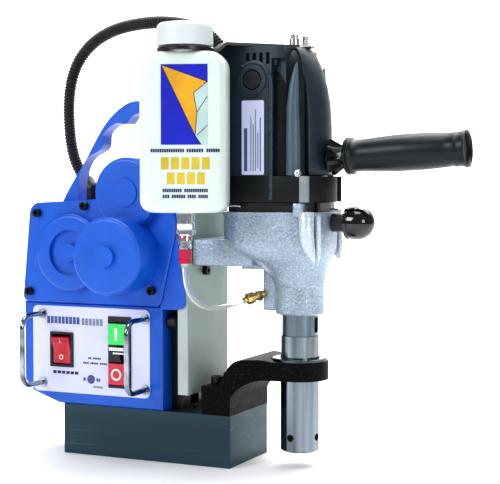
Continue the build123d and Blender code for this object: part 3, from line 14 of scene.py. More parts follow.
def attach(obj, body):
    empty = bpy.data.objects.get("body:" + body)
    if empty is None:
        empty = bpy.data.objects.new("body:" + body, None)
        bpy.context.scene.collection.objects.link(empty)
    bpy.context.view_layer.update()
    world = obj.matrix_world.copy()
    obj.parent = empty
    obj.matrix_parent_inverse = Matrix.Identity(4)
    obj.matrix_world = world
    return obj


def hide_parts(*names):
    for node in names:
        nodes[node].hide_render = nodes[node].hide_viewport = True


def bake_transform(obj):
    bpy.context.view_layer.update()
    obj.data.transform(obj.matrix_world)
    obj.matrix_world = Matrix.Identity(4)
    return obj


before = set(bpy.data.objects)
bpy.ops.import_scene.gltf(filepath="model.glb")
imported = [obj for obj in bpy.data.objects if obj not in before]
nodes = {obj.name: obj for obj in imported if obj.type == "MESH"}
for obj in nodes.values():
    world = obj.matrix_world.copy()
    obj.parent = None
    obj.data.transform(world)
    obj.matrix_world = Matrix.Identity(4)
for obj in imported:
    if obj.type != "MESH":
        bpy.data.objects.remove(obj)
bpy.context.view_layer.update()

MM = 0.001


# ---- camera
TARGET = Vector((0.0959, 0.0, 0.219))
AZIMUTH, ELEVATION, DISTANCE, LENS = 24.78, 2.57, 1.309, 94.6


def make_camera():
    """A long lens at the operator's side, level with the middle of the machine."""
    data = bpy.data.cameras.new("view")
    data.sensor_width, data.lens, data.clip_end = 36.0, LENS, 50.0
    camera = bpy.data.objects.new("view", data)
    bpy.context.scene.collection.objects.link(camera)
    az, el = radians(AZIMUTH), radians(ELEVATION)
    back = Vector((sin(az) * cos(el), -cos(az) * cos(el), sin(el)))
    camera.location = TARGET + back * DISTANCE
    camera.rotation_euler = back.to_track_quat("Z", "Y").to_euler()
    bpy.context.scene.camera = camera


# ---- mesh helpers
def add_piece(name, mesh, body, material, smooth=38.0):
    """Put a mesh in the scene, shade it, give it a material and let it ride on a body, if one is given."""
    piece = bpy.data.objects.new(name, mesh)
    bpy.context.scene.collection.objects.link(piece)
    mesh.shade_smooth()
    mesh.set_sharp_from_angle(angle=radians(smooth))
    mesh.materials.clear()
    mesh.materials.append(material)
    if body:
        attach(piece, body)
    return piece


def mesh_of(bm, name):
    """Turn a bmesh into a mesh with its faces pointing outwards."""
    bmesh.ops.recalc_face_normals(bm, faces=bm.faces)
    mesh = bpy.data.meshes.new(name)
    bm.to_mesh(mesh)
    bm.free()
    return mesh


def skin(rings, name, closed=False, caps=True):
    """A mesh through rings of points in millimetres; closed joins the last ring to the first."""
    bm = bmesh.new()
    loops = [[bm.verts.new(Vector(p) * MM) for p in ring] for ring in rings]
    pairs = list(zip(loops, loops[1:])) + ([(loops[-1], loops[0])] if closed else [])
    for low, high in pairs:
        for i in range(len(low)):
            j = (i + 1) % len(low)
            bm.faces.new((low[i], low[j], high[j], high[i]))
    if caps and not closed:
        bm.faces.new(loops[0][::-1])
        bm.faces.new(loops[-1])
    return mesh_of(bm, name)


def turns(steps):
    """Even angles once round a circle."""
    return [2 * pi * i / steps for i in range(steps)]


def across(axis):
    """Two directions square to an axis and to each other."""
    axis = Vector(axis).normalized()
    side = axis.cross(Vector((0, 0, 1)) if abs(axis.z) < 0.9 else Vector((1, 0, 0))).normalized()
    return axis, side, axis.cross(side)


def lathe(profile, origin, axis, name, steps=72):
    """A turned piece: profile is (distance along the axis, radius) in millimetres from the origin."""
    axis, side, up = across(axis)
    origin = Vector(origin)
    rings = []
    for along, radius in profile:
        radius = max(radius, 0.01)
        rings.append([origin + axis * along + (side * cos(a) + up * sin(a)) * radius for a in turns(steps)])
    return skin(rings, name)


def arc(centre, radius, start, end, steps=8):
    """Points on an arc in a profile, from one angle to another in degrees."""
    return [(centre[0] + radius * cos(radians(start + (end - start) * i / steps)),
             centre[1] + radius * sin(radians(start + (end - start) * i / steps))) for i in range(steps + 1)]


def prism(outline, plane, low, high, name, bevel=0.0, segments=2):
    """An outline in millimetres carried between two heights along a plane's normal, with softened rims."""
    to_world = {"xy": lambda u, v, w: (u, v, w), "xz": lambda u, v, w: (u, w, v)}
    rings = [[to_world[plane](u, v, w) for u, v in outline] for w in (low, high)]
    mesh = skin(rings, name)
    if bevel:
        soften(mesh, bevel, segments, 30.0)
    return mesh


def soften(mesh, width, segments=2, angle=30.0):
    """Round the edges of a mesh that are sharper than an angle; width is in millimetres."""
    bm = bmesh.new()
    bm.from_mesh(mesh)
    sharp = [e for e in bm.edges if len(e.link_faces) == 2 and e.calc_face_angle(0.0) > radians(angle)]
    bmesh.ops.bevel(bm, geom=sharp, offset=width * MM, segments=segments, profile=0.5, affect="EDGES",
                    clamp_overlap=True)
    bm.to_mesh(mesh)
    bm.free()


def rounded_rectangle(centre, size, radius, steps=6):
    """The outline of a rectangle with round corners."""
    points = []
    for sx, sy, start in ((1, 1, 0), (-1, 1, 90), (-1, -1, 180), (1, -1, 270)):
        corner = (centre[0] + sx * (size[0] / 2 - radius), centre[1] + sy * (size[1] / 2 - radius))
        points += arc(corner, radius, start, start + 90, steps)
    return points


def circle(centre, radius, steps=48):
    """The outline of a circle."""
    return arc(centre, radius, 0, 360 * (steps - 1) / steps, steps - 1)


def rounded_copy(node, body, material, width=0.6, segments=2, angle=35.0):
    """A copy of a CAD node with softened edges, which stands for the node."""
    mesh = nodes[node].data.copy()
    if "custom_normal" in mesh.attributes:
        mesh.attributes.remove(mesh.attributes["custom_normal"])
    bm = bmesh.new()
    bm.from_mesh(mesh)
    bmesh.ops.remove_doubles(bm, verts=bm.verts, dist=2e-6)
    bmesh.ops.dissolve_limit(bm, angle_limit=radians(0.8), verts=bm.verts, edges=bm.edges)
    bm.to_mesh(mesh)
    bm.free()
    piece = add_piece(node + ".soft", mesh, body, material)
    bevel = piece.modifiers.new("rim", "BEVEL")
    bevel.width, bevel.segments, bevel.limit_method = width * MM, segments, "ANGLE"
    bevel.angle_limit, bevel.harden_normals, bevel.use_clamp_overlap = radians(angle), True, True
    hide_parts(node)
    return piece


# ---- materials
RELIEF_DEPTH, FLECK_EDGE = 0.0005, 0.06


def linear(*rgb):
    """A colour given as 0-255 screen values, as linear light."""
    return tuple(((c / 255) / 12.92 if c <= 10 else ((c / 255 + 0.055) / 1.055) ** 2.4) for c in rgb)


def material(name, colour, rough=0.5, metal=0.0, vary=0.12, patch=35, grain=900, bump=0.15, rough_vary=0.12,
             stretch=(1, 1, 1), cells=False, flecks=None, **sockets):
    """A procedural finish: slow colour patches, fine roughness changes and a surface grain.

    patch and grain are features per metre, stretch draws them out along an axis, cells makes the grain lumpy
    like hammered paint, flecks are a colour with its features per metre and threshold, and sockets are
    constant values on the shader itself.
    """
    mat = bpy.data.materials.new(name)
    mat.use_nodes = True
    tree = mat.node_tree
    shader = tree.nodes["Principled BSDF"]
    colour = linear(*colour)
    shader.inputs["Metallic"].default_value = metal
    for socket, value in sockets.items():
        shader.inputs[socket.replace("_", " ")].default_value = value
    place = tree.nodes.new("ShaderNodeTexCoord")
    drawn = tree.nodes.new("ShaderNodeMapping")
    drawn.inputs["Scale"].default_value = stretch
    tree.links.new(place.outputs["Object"], drawn.inputs["Vector"])

    def noise(scale, detail=3.0):
        node = tree.nodes.new("ShaderNodeTexNoise")
        node.inputs["Scale"].default_value, node.inputs["Detail"].default_value = scale, detail
        tree.links.new(drawn.outputs["Vector"], node.inputs["Vector"])
        return node

    patches, ramp = noise(patch), tree.nodes.new("ShaderNodeValToRGB")
    ramp.color_ramp.elements[0].position, ramp.color_ramp.elements[1].position = 0.3, 0.7
    for element, factor in zip(ramp.color_ramp.elements, (1 - vary, 1 + vary)):
        element.color = (*[min(1.0, c * factor) for c in colour], 1.0)
    tree.links.new(patches.outputs["Fac"], ramp.inputs["Fac"])
    finish = ramp.outputs["Color"]
    if flecks:
        fleck_colour, fleck_scale, threshold = flecks
        spots, mask = noise(fleck_scale, 2.0), tree.nodes.new("ShaderNodeValToRGB")
        mix = tree.nodes.new("ShaderNodeMix")
        mask.color_ramp.elements[0].position = threshold
        mask.color_ramp.elements[1].position = threshold + FLECK_EDGE
        mix.data_type = "RGBA"
        tree.links.new(spots.outputs["Fac"], mask.inputs["Fac"])
        tree.links.new(mask.outputs["Color"], mix.inputs["Factor"])
        tree.links.new(finish, mix.inputs["A"])
        mix.inputs["B"].default_value = (*linear(*fleck_colour), 1.0)
        finish = mix.outputs["Result"]
    tree.links.new(finish, shader.inputs["Base Color"])

    shine = tree.nodes.new("ShaderNodeMapRange")
    shine.inputs["To Min"].default_value = max(0.02, rough - rough_vary)
    shine.inputs["To Max"].default_value = min(1.0, rough + rough_vary)
    tree.links.new(noise(patch * 4).outputs["Fac"], shine.inputs["Value"])
    tree.links.new(shine.outputs["Result"], shader.inputs["Roughness"])

    if cells:
        height = tree.nodes.new("ShaderNodeTexVoronoi")
        height.feature = "SMOOTH_F1"
        height.inputs["Scale"].default_value = grain
        tree.links.new(drawn.outputs["Vector"], height.inputs["Vector"])
        level = height.outputs["Distance"]
    else:
        level = noise(grain, 4.0).outputs["Fac"]
    relief = tree.nodes.new("ShaderNodeBump")
    relief.inputs["Strength"].default_value = bump
    relief.inputs["Distance"].default_value = RELIEF_DEPTH
    tree.links.new(level, relief.inputs["Height"])
    tree.links.new(relief.outputs["Normal"], shader.inputs["Normal"])
    return mat


BLUE = material("blue_powder_coat", (5, 88, 196), 0.36, grain=1500, bump=0.22, vary=0.07, Coat_Weight=0.08,
                Coat_Roughness=0.3)
GREY_GREEN = material("grey_green_paint", (139, 156, 148), 0.42, grain=1300, bump=0.15, vary=0.06,
                      flecks=((112, 127, 120), 700, 0.66))
MAGNET = material("ground_magnet_steel", (46, 70, 80), 0.4, 0.6, vary=0.2, patch=9, grain=700, bump=0.1,
                  stretch=(0.06, 1, 4), flecks=((70, 90, 96), 90, 0.66))
# The crinkle paint's pale flecks are painted glints, standing in for the highlights on its ridges.
CRINKLE = material("black_crinkle_paint", (3, 6, 8), 0.5, grain=620, bump=0.6, cells=True, vary=0.3,
                   flecks=((44, 60, 68), 760, 0.64), Specular_IOR_Level=0.1)
SATIN_BLACK = material("satin_black_paint", (22, 23, 25), 0.33, grain=1400, bump=0.12, vary=0.15)
HAMMERED = material("silver_hammered_paint", (154, 170, 184), 0.3, 0.4, grain=540, bump=1.0, cells=True,
                    patch=420, vary=0.18, rough_vary=0.1, flecks=((204, 216, 226), 640, 0.62))
# Painted highlight: a lighter copy of the hammered paint for the casting's bosses and flutes, standing in for
# the light they catch.
HAMMERED_LIT = material("silver_paint_painted_highlight", (198, 210, 220), 0.3, 0.3, grain=520, bump=0.8, cells=True,
                        patch=420, vary=0.12, rough_vary=0.1, flecks=((236, 242, 246), 620, 0.6))
MOTOR = material("charcoal_moulded_nylon", (24, 42, 52), 0.38, grain=1500, bump=0.3, vary=0.12)
# Dark nylon for the clamp band; on the motor's recessed core it is painted shade.
MOTOR_DARK = material("dark_moulded_nylon", (7, 15, 18), 0.5, grain=1900, bump=0.2, Specular_IOR_Level=0.3)
# Painted highlight: lighter nylon on the screw towers, standing in for the broad highlight on their round
# sides.
MOTOR_TOWER_HIGHLIGHT = material("lit_moulded_nylon", (72, 90, 104), 0.36, grain=1500, bump=0.3, vary=0.1)
# Painted highlight: lighter nylon on the raised ridges, standing in for the highlight along their edge.
MOTOR_RIDGE_HIGHLIGHT = material("ridge_highlight_moulded_nylon", (38, 56, 68), 0.3, grain=1500, bump=0.3, vary=0.1)
# Painted light: a paler grey for the slide's front faces, lighter because the light falls on that side.
SLIDE_FRONT_LIGHT = material("slide_front_painted_light", (176, 187, 186), 0.4, grain=1300, bump=0.1, vary=0.1, patch=14)
CLAMP_GREY = material("clamp_block_grey", (128, 136, 142), 0.42, grain=900, bump=0.1, vary=0.05)
GRIP = material("black_grip_nylon", (11, 21, 26), 0.36, grain=1500, bump=0.12, vary=0.12,
                Specular_IOR_Level=0.35)
GLOSS = material("polished_black_phenolic", (7, 8, 9), 0.09, grain=300, bump=0.02, vary=0.3, rough_vary=0.04,
                 Coat_Weight=0.6, Coat_Roughness=0.05)
GLOSS_PLASTIC = material("glossy_black_nylon", (10, 12, 13), 0.2, grain=900, bump=0.06, vary=0.2)
BLACK_PLASTIC = material("moulded_black_plastic", (21, 22, 25), 0.4, grain=1700, bump=0.15)
RUBBER = material("black_rubber", (17, 18, 20), 0.5, grain=1200, bump=0.3, vary=0.2)
CHROME = material("polished_chrome", (226, 229, 233), 0.07, 1.0, grain=250, bump=0.015, vary=0.03,
                  rough_vary=0.03)
# Painted reflection: a darker chrome whose large tone patches stand in for the contrast of the reflections on
# the guard handles.
GUARD_CHROME = material("polished_guard_chrome", (146, 154, 162), 0.08, 1.0, patch=60, grain=250, bump=0.015,
                        vary=0.6, rough_vary=0.03)
POLISHED = material("polished_arbor_steel", (126, 136, 144), 0.2, 1.0, patch=95, grain=1500, bump=0.02,
                    stretch=(1, 1, 0.03), vary=0.6, rough_vary=0.04)
BUSH_STEEL = material("dark_bush_steel", (74, 84, 88), 0.24, 1.0, patch=80, grain=1500, bump=0.03, vary=0.3,
                      rough_vary=0.05)
SATIN_STEEL = material("satin_turned_steel", (112, 126, 134), 0.32, 1.0, patch=80, grain=1500, bump=0.03,
                       stretch=(1, 1, 0.05), vary=0.35, rough_vary=0.05)
ZINC = material("zinc_plated_steel", (186, 189, 190), 0.3, 1.0, patch=120, grain=900, bump=0.08, vary=0.14)
DARK_STEEL = material("black_oxide_steel", (28, 29, 32), 0.35, 0.6, patch=150, grain=900, bump=0.1, vary=0.25)
CUT_STEEL = material("machined_steel", (150, 153, 156), 0.33, 1.0, patch=90, grain=900, bump=0.08, vary=0.12)
BRONZE = material("machined_bronze", (176, 126, 66), 0.3, 1.0, patch=110, grain=900, bump=0.06, vary=0.12)
BRASS = material("turned_brass", (206, 180, 116), 0.22, 1.0, patch=330, grain=900, bump=0.12, vary=0.35)
BEARING = material("ground_bearing_steel", (205, 208, 212), 0.14, 1.0, patch=90, grain=900, bump=0.02,
                   vary=0.05)
LAMINATE = material("stacked_laminations", (96, 92, 90), 0.45, 0.8, patch=40, grain=600, bump=0.5,
                    stretch=(0.1, 0.1, 3), vary=0.15)
COPPER = material("enamelled_copper", (176, 88, 46), 0.28, 0.9, patch=60, grain=1400, bump=0.5, vary=0.15)
RESIN = material("potting_resin", (25, 25, 27), 0.3, grain=400, bump=0.12, vary=0.2)
PANEL = material("panel_film", (208, 212, 240), 0.34, grain=2200, bump=0.1, vary=0.025)
INK = material("panel_ink", (66, 84, 140), 0.45, grain=2200, bump=0.08, vary=0.1)
RED = material("red_switch_plastic", (186, 10, 42), 0.25, grain=900, bump=0.05, vary=0.06, Coat_Weight=0.3)
STOP_RED = material("stop_button_plastic", (200, 24, 58), 0.28, grain=900, bump=0.05, vary=0.06,
                    Coat_Weight=0.3)
GREEN = material("start_button_plastic", (48, 220, 100), 0.28, grain=900, bump=0.05, vary=0.06,
                 Coat_Weight=0.3)
MARK = material("white_mark_ink", (238, 242, 240), 0.4, grain=1500, bump=0.05, vary=0.03)
BOTTLE = material("milky_polythene", (214, 226, 222), 0.34, grain=260, bump=0.1, vary=0.02,
                  Subsurface_Weight=0.35, Subsurface_Radius=(0.02, 0.022, 0.02), Subsurface_Scale=0.25,
                  Coat_Weight=0.2)
CAP = material("white_cap_plastic", (208, 216, 218), 0.4, grain=900, bump=0.1, vary=0.03)
LABEL_BLUE = material("label_blue", (14, 30, 176), 0.42, grain=1500, bump=0.06, vary=0.12)
LABEL_GOLD = material("label_gold", (214, 158, 34), 0.42, grain=1500, bump=0.06, vary=0.15)
LABEL_LETTER = material("label_letter_gold", (200, 178, 58), 0.42, grain=1500, bump=0.06, vary=0.15)
LABEL_PALE = material("label_pale_green", (176, 204, 200), 0.42, grain=1500, bump=0.06, vary=0.1)
LABEL_INK = material("label_dark_ink", (18, 22, 80), 0.42, grain=1500, bump=0.06, vary=0.12)
LABEL_GREY = material("label_grey", (128, 138, 160), 0.42, grain=1500, bump=0.06, vary=0.12)
RED_SLEEVE = material("red_tinted_sleeve", (232, 52, 98), 0.12, grain=900, bump=0.05, vary=0.05,
                      Transmission_Weight=0.55)
TUBE = material("clear_soft_tube", (226, 230, 226), 0.18, grain=500, bump=0.05, vary=0.03,
                Transmission_Weight=0.75, IOR=1.42)
BOARD = material("circuit_board", (20, 96, 52), 0.35, grain=1200, bump=0.4, vary=0.2,
                 flecks=((190, 160, 80), 500, 0.68))
FLOOR = material("studio_paper", (250, 250, 251), 0.8, grain=300, bump=0.02, vary=0.004, patch=3)


# ---- cords
CONDUIT = [(-97.5, 5.0, 280.5), (-105.5, 5.0, 290.7), (-111.8, 5.0, 303.3), (-116.2, 5.0, 320.8),
           (-118.4, 5.0, 344.7), (-118.2, 5.0, 368.0), (-113.6, 4.5, 391.1), (-102.6, 4.0, 411.2),
           (-84.8, 3.5, 427.0), (-61.0, 3.0, 437.3), (-33.5, 2.0, 441.6), (-5.0, 1.0, 442.3),
           (21.5, 0.5, 438.8), (43.5, 0.2, 431.3), (60.0, 0.0, 418.5), (69.5, 0.0, 405.5)]
COOLANT_TUBE = [(66.0, -82.0, 198.0), (66.0, -82.0, 184.0), (68.3, -75.8, 169.6), (74.0, -64.2, 159.4),
                (81.6, -49.6, 156.0), (90.0, -34.8, 158.7), (99.6, -23.9, 162.5)]
CONDUIT_R, TUBE_R = 6.5, 2.75


def spline_points(route, name):
    """The points, in metres, of a NURBS spline whose control points are a route in millimetres."""
    curve = bpy.data.curves.new(name, "CURVE")
    curve.dimensions, curve.resolution_u = "3D", 24
    spline = curve.splines.new("NURBS")
    spline.points.add(len(route) - 1)
    for point, place in zip(spline.points, route):
        point.co = (*(Vector(place) * MM), 1.0)
    spline.order_u, spline.use_endpoint_u = 3, True
    guide = bpy.data.objects.new(name, curve)
    mesh = bpy.data.meshes.new_from_object(guide)
    line = [v.co.copy() for v in mesh.vertices]
    bpy.data.objects.remove(guide)
    bpy.data.meshes.remove(mesh)
    return line


def evenly(line, step):
    """The same line with points an even step apart, in metres."""
    lengths = [0.0]
    for a, b in zip(line, line[1:]):
        lengths.append(lengths[-1] + (b - a).length)
    count = max(2, round(lengths[-1] / step))
    even, at = [], 0
    for i in range(count + 1):
        target = lengths[-1] * i / count
        while at < len(line) - 2 and lengths[at + 1] < target:
            at += 1
        span = lengths[at + 1] - lengths[at] or 1.0
        even.append(line[at].lerp(line[at + 1], min(1.0, (target - lengths[at]) / span)))
    return even, lengths[-1]


def tube_along(line, radius_at, name, steps=24):
    """A tube round a line in metres; radius_at gives the radius in millimetres at each point's number."""
    rings, side = [], Vector((0, 1, 0))
    for i, place in enumerate(line):
        ahead = (line[min(i + 1, len(line) - 1)] - line[max(i - 1, 0)]).normalized()
        side = (side - ahead * side.dot(ahead)).normalized()
        up = ahead.cross(side)
        rings.append([(place + (side * cos(a) + up * sin(a)) * radius_at(i) * MM) / MM for a in turns(steps)])
    return skin(rings, name)


def make_conduit():
    """The ribbed conduit from the feed housing to the motor, curving from the frame over to the head."""
    line, length = evenly(spline_points(CONDUIT, "conduit_route"), 0.55 * MM)
    ribs = (1.0, 1.0, 0.9, 0.8, 0.8, 0.9)
    mesh = tube_along(line, lambda i: CONDUIT_R * ribs[i % len(ribs)], "conduit_hose", 28)
    hose = add_piece("conduit_hose", mesh, None, RUBBER, smooth=60)
    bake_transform(hose)
    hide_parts("conduit")


def make_coolant_tube():
    """The clear tube from the bottle's valve to the brass fitting."""
    line, length = evenly(spline_points(COOLANT_TUBE, "coolant_route"), 1.2 * MM)
    tube = add_piece("coolant_hose", tube_along(line, lambda i: TUBE_R, "coolant_hose", 20), "head", TUBE, 60)
    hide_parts("coolant_tube")


make_camera()
make_conduit()
make_coolant_tube()


# ---- gearbox casting
def make_casting():
    """The silver gearbox casting: a bowl that narrows to the spindle collar, its arm, pad, rib and bosses."""
    #           z      left   right  half width
    levels = [(250.0, 74.4, 182.8, 42.2), (249.4, 73.7, 183.5, 42.9), (247.2, 73.7, 183.5, 42.9),
              (246.4, 74.6, 182.8, 42.2), (232.0, 74.4, 183.2, 42.5), (222.0, 75.2, 183.2, 42.4),
              (216.0, 77.8, 183.0, 41.8), (211.0, 82.5, 182.4, 40.6), (206.5, 89.5, 181.3, 38.9),
              (202.5, 98.0, 179.9, 36.6), (198.5, 106.5, 178.4, 33.8), (194.0, 113.8, 177.0, 31.0),
              (189.0, 119.2, 175.9, 28.6), (183.0, 122.8, 175.0, 26.4), (177.5, 125.0, 174.5, 25.0),
              (176.8, 125.3, 174.2, 24.4), (151.0, 125.6, 174.2, 24.3), (149.7, 126.8, 173.0, 23.1)]
    collar_half, bowl_growth, bowl_corner = 24.0, 18.0, 34.0
    rings = []
    for z, left, right, half in levels:
        share = min(1.0, max(0.0, (half - collar_half) / bowl_growth))
        radius = half * (1 - share) + bowl_corner * share
        radius = min(radius, half - 0.05, (right - left) / 2 - 0.05)
        outline = rounded_rectangle(((left + right) / 2, 0), (right - left, 2 * half), radius, 12)
        rings.append([(x, y, z) for x, y in outline])
    body = add_piece("casting_bowl", skin(rings[::-1], "casting_bowl"), "head", HAMMERED, smooth=32)
    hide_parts("gearbox_casting")
    arm = prism([(50.2, -37.6), (98.0, -37.6), (112.0, -30.0), (112.0, 30.0), (98.0, 37.6), (50.2, 37.6)], "xy",
                196.5, 223.0, "casting_arm", 2.0, 3)
    pad = prism(rounded_rectangle((108.0, 0), (30.0, 34.0), 4), "xy", 192.8, 199.0, "casting_pad", 1.2, 2)
    rib = prism([(113.6, 152.3), (130.0, 152.3), (130.0, 196.0), (113.6, 196.0)], "xz", -8.0, 8.0,
                "casting_rib", 1.6, 3)
    for mesh in (arm, pad, rib):
        piece = add_piece(mesh.name, mesh, "head", HAMMERED)
        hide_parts("gearbox_casting")
    for side in (-1, 1):
        column = []
        for z, radius, shift in [(250.2, 6.6, 0.0), (249.4, 7.2, 0.0), (232.0, 7.2, 0.0), (222.0, 6.9, 0.6),
                                 (214.0, 5.8, 2.0), (208.0, 3.8, 3.8), (203.6, 1.6, 5.4), (202.0, 0.4, 6.2)]:
            column.append([(171.6 + shift + radius * cos(a), side * (36.6 - 0.6 * shift) + radius * sin(a), z)
                           for a in turns(32)])
        # The bosses and flutes take the lighter hammered paint as a painted highlight.
        boss = add_piece(f"casting_boss_{side + 2}", skin(column[::-1], "boss"), "head", HAMMERED_LIT)
        flute = [[(180.6 + r * cos(a), side * 29.0 + r * sin(a), z) for a in turns(16)]
                 for z, r in ((203.0, 0.6), (206.0, 1.8), (212.0, 2.6), (246.0, 2.6))]
        fin = add_piece(f"casting_flute_{side + 2}", skin(flute, "flute"), "head", HAMMERED_LIT)
        lug = prism(rounded_rectangle((164.6, side * 38.4), (10.6, 8.0), 1.6), "xy", 246.0, 258.6, "lug",
                    0.8, 2)
        add_piece(f"casting_lug_{side + 2}", lug, "head", HAMMERED)


def make_neck():
    """The black bearing plate between casting and motor, with the small clip and post seen in the gap."""
    rounded_copy("bearing_plate", "head", SATIN_BLACK, 0.8)
    clip = spline_points([(84.0, -43.0, 251.6), (86.0, -44.2, 253.0), (93.0, -44.4, 255.4),
                          (101.0, -44.0, 256.2), (106.0, -43.2, 255.0)], "clip_line")
    wire = add_piece("band_clip", tube_along(clip, lambda i: 0.9, "band_clip", 10), "head", ZINC)
    post = lathe([(0, 2.0), (0.4, 2.6), (8.6, 2.6), (9.0, 2.0)], (176.5, -20.0, 250.2), (0, 0, 1),
                 "band_post", 20)
    add_piece("band_post", post, "head", SATIN_BLACK)


# ---- motor
BRUSH_X, BRUSH_Z = 118.4, 376.0


def make_motor():
    """Front and back of the motor with their ridges, the rounded end cap and the screw towers."""
    housing = rounded_copy("motor_housing", "head", MOTOR, 1.4, 3)
    #        z      radius  centre
    levels = [(284.8, 44.0, 136.0), (300.0, 44.2, 136.0), (320.0, 44.2, 135.9), (340.0, 43.8, 135.8),
              (356.0, 42.8, 135.4), (370.0, 41.0, 134.8), (382.0, 38.6, 134.0), (392.0, 35.8, 133.2),
              (400.0, 32.8, 132.4), (405.0, 30.2, 131.9), (407.4, 28.0, 131.6), (408.0, 26.5, 131.4)]
    opening, depth = 39, 5.0
    rings = []
    for z, radius, centre in levels:
        wall = [(centre + radius * cos(a), radius * sin(a)) for a in
                (radians(-opening + 2 * opening * i / 40) for i in range(41))]
        inner = [(centre + (radius - depth) * cos(a), (radius - depth) * sin(a)) for a in
                 (radians(opening + 1.5 - 2 * (opening + 1.5) * i / 20) for i in range(21))]
        rings.append([(x, y, z) for x, y in wall + inner])
    shell = add_piece("motor_end_cap", skin(rings, "motor_end_cap"), "head", MOTOR, smooth=50)
    soften(shell.data, 0.9, 2, 50)
    shell.data.shade_smooth()
    shell.data.set_sharp_from_angle(angle=radians(45))
    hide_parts("motor_shell")
    # Painted shade: the core in the recess between the front panel and the screw towers is drawn in the dark
    # nylon.
    core = []
    for z, radius in [(284.6, 38.5), (370.0, 38.0), (386.0, 35.0), (396.0, 31.0), (402.0, 27.0), (405.0, 24.0)]:
        arcs = [(136.0 + radius * cos(a), radius * sin(a)) for a in (radians(-90 + 6 * i) for i in range(31))]
        core.append([(x, y, z) for x, y in arcs])
    inner = add_piece("motor_core", skin(core, "motor_core"), "head", MOTOR_DARK, smooth=45)
    for side in (-1, 1):
        tower = []
        for z, radius, along in [(284.8, 7.2, 0.0), (320.0, 6.9, -0.2), (350.0, 6.0, -0.6), (370.0, 4.6, 0.4),
                                 (382.0, 3.0, 1.6), (389.0, 1.5, 2.6), (392.5, 0.3, 3.2)]:
            tower.append([(157.9 + along + radius * cos(a),
                           side * (36.2 - 0.4 * along) + 0.9 * radius * sin(a), z) for a in turns(32)])
        # The towers take the lighter nylon as a painted highlight.
        add_piece(f"motor_tower_{side + 2}", skin(tower, "tower"), "head", MOTOR_TOWER_HIGHLIGHT)
        ridge = [(137.6, side * 43.1, z) for z in (262.0, 290.0, 330.0, 356.0)]
        ridge += [(BRUSH_X + 19.2 * cos(radians(a)), side * 43.1, 374.0 + 19.2 * sin(radians(a)))
                  for a in (0, 25, 50, 75, 100, 125)]
        mesh = tube_along(spline_points(ridge, "ridge_line"), lambda i: 2.4, "ridge", 16)
        # The ridges take the lighter nylon as a painted highlight.
        add_piece(f"motor_ridge_{side + 2}", mesh, "head", MOTOR_RIDGE_HIGHLIGHT)
        screw = lathe([(0, 0.6), (0.2, 3.6), (3.2, 3.6), (3.6, 3.0), (3.6, 1.4), (1.6, 1.2), (1.6, 0.01)],
                      (165.2, side * 40.6, 286.6), (0, side, 0.15), "motor_screw", 24)
        add_piece(f"motor_screw_{side + 2}", screw, "head", ZINC)


def make_band():
    """The clamping band round the foot of the motor, with a lighter block where each screw tower ends."""
    outline = [(74.6, -44.4), (163.4, -44.4), (166.4, -43.4), (176.0, -43.4), (176.6, -38.6), (180.2, -34.6)]
    outline += [(140.8 + 44.6 * cos(radians(a)), 44.6 * sin(radians(a))) for a in range(-46, 47, 4)]
    outline += [(x, -y) for x, y in outline[5::-1]]
    mesh = prism(outline, "xy", 259.2, 284.3, "motor_clamp", 0.8, 2)
    band = add_piece("motor_clamp", mesh, "head", MOTOR_DARK)
    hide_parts("motor_band")
    for side in (-1, 1):
        block = prism(rounded_rectangle((171.6, side * 41.4), (9.4, 6.8), 1.4), "xy", 259.4, 284.2,
                      "clamp_block", 0.6, 2)
        add_piece(f"clamp_block_{side + 2}", block, "head", CLAMP_GREY)


def make_brush_caps():
    """Slotted brush caps inside their raised rings."""
    for side in (-1, 1):
        cap = lathe([(-3.0, 8.6), (0.6, 8.8), (1.2, 8.2), (1.2, 6.2), (0.5, 5.8), (0.5, 0.01)],
                    (BRUSH_X, side * 44.4, BRUSH_Z), (0, side, 0), "brush_cap", 48)
        piece = add_piece(f"brush_cap_{side + 2}", cap, "head", BLACK_PLASTIC)
        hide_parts("brush_caps")
        rim = lathe([(-1.5, 9.4), (1.6, 9.6), (2.2, 10.2), (2.2, 13.6), (1.4, 14.6), (-1.5, 14.8)],
                    (BRUSH_X, side * 43.4, BRUSH_Z), (0, side, 0), "brush_ring", 56)
        add_piece(f"brush_ring_{side + 2}", rim, "head", MOTOR)
        bar = prism(rounded_rectangle((BRUSH_X, BRUSH_Z), (2.4, 9.6), 1.1), "xz", side * 44.6, side * 45.5,
                    "brush_bar", 0.3, 1)
        add_piece(f"brush_bar_{side + 2}", bar, "head", BLACK_PLASTIC)


def make_rating_plate():
    """A blank rating plate: a pale film with plain bars in place of print."""
    plate = prism(rounded_rectangle((119.2, 321.0), (23.4, 71.0), 1.6), "xz", -44.5, -44.0, "rating_plate",
                  0.2, 1)
    add_piece("rating_plate", plate, "head", PANEL)
    for at, wide, low, high, ink in ((111.8, 3.4, 289, 330, INK), (117.4, 1.1, 289, 341, LABEL_GREY),
                                     (119.8, 1.1, 289, 334, LABEL_GREY), (122.2, 1.1, 289, 348, LABEL_GREY),
                                     (124.6, 1.1, 292, 326, LABEL_GREY), (127.2, 1.1, 289, 340, INK)):
        bar = prism(rounded_rectangle((at, (low + high) / 2), (wide, high - low), 0.4, 3), "xz", -44.62, -44.45,
                    "rating_bar")
        add_piece(f"rating_bar_{round(at)}", bar, "head", ink)


# ---- coolant bottle
BOTTLE_AT, BOTTLE_TURN = Vector((66.0, -82.0, 0.0)), radians(18)
ALONG = Vector((cos(BOTTLE_TURN), sin(BOTTLE_TURN), 0))
FACING = Vector((sin(BOTTLE_TURN), -cos(BOTTLE_TURN), 0))
BOTTLE_HALF, BOTTLE_DEEP, LABEL_FRONT = 41.4, 21.9, 21.8


def on_bottle(u, v, z):
    """A point from the bottle's own sizes: u along it, v towards its front, z above the ground."""
    return BOTTLE_AT + ALONG * u + FACING * v + Vector((0, 0, z))


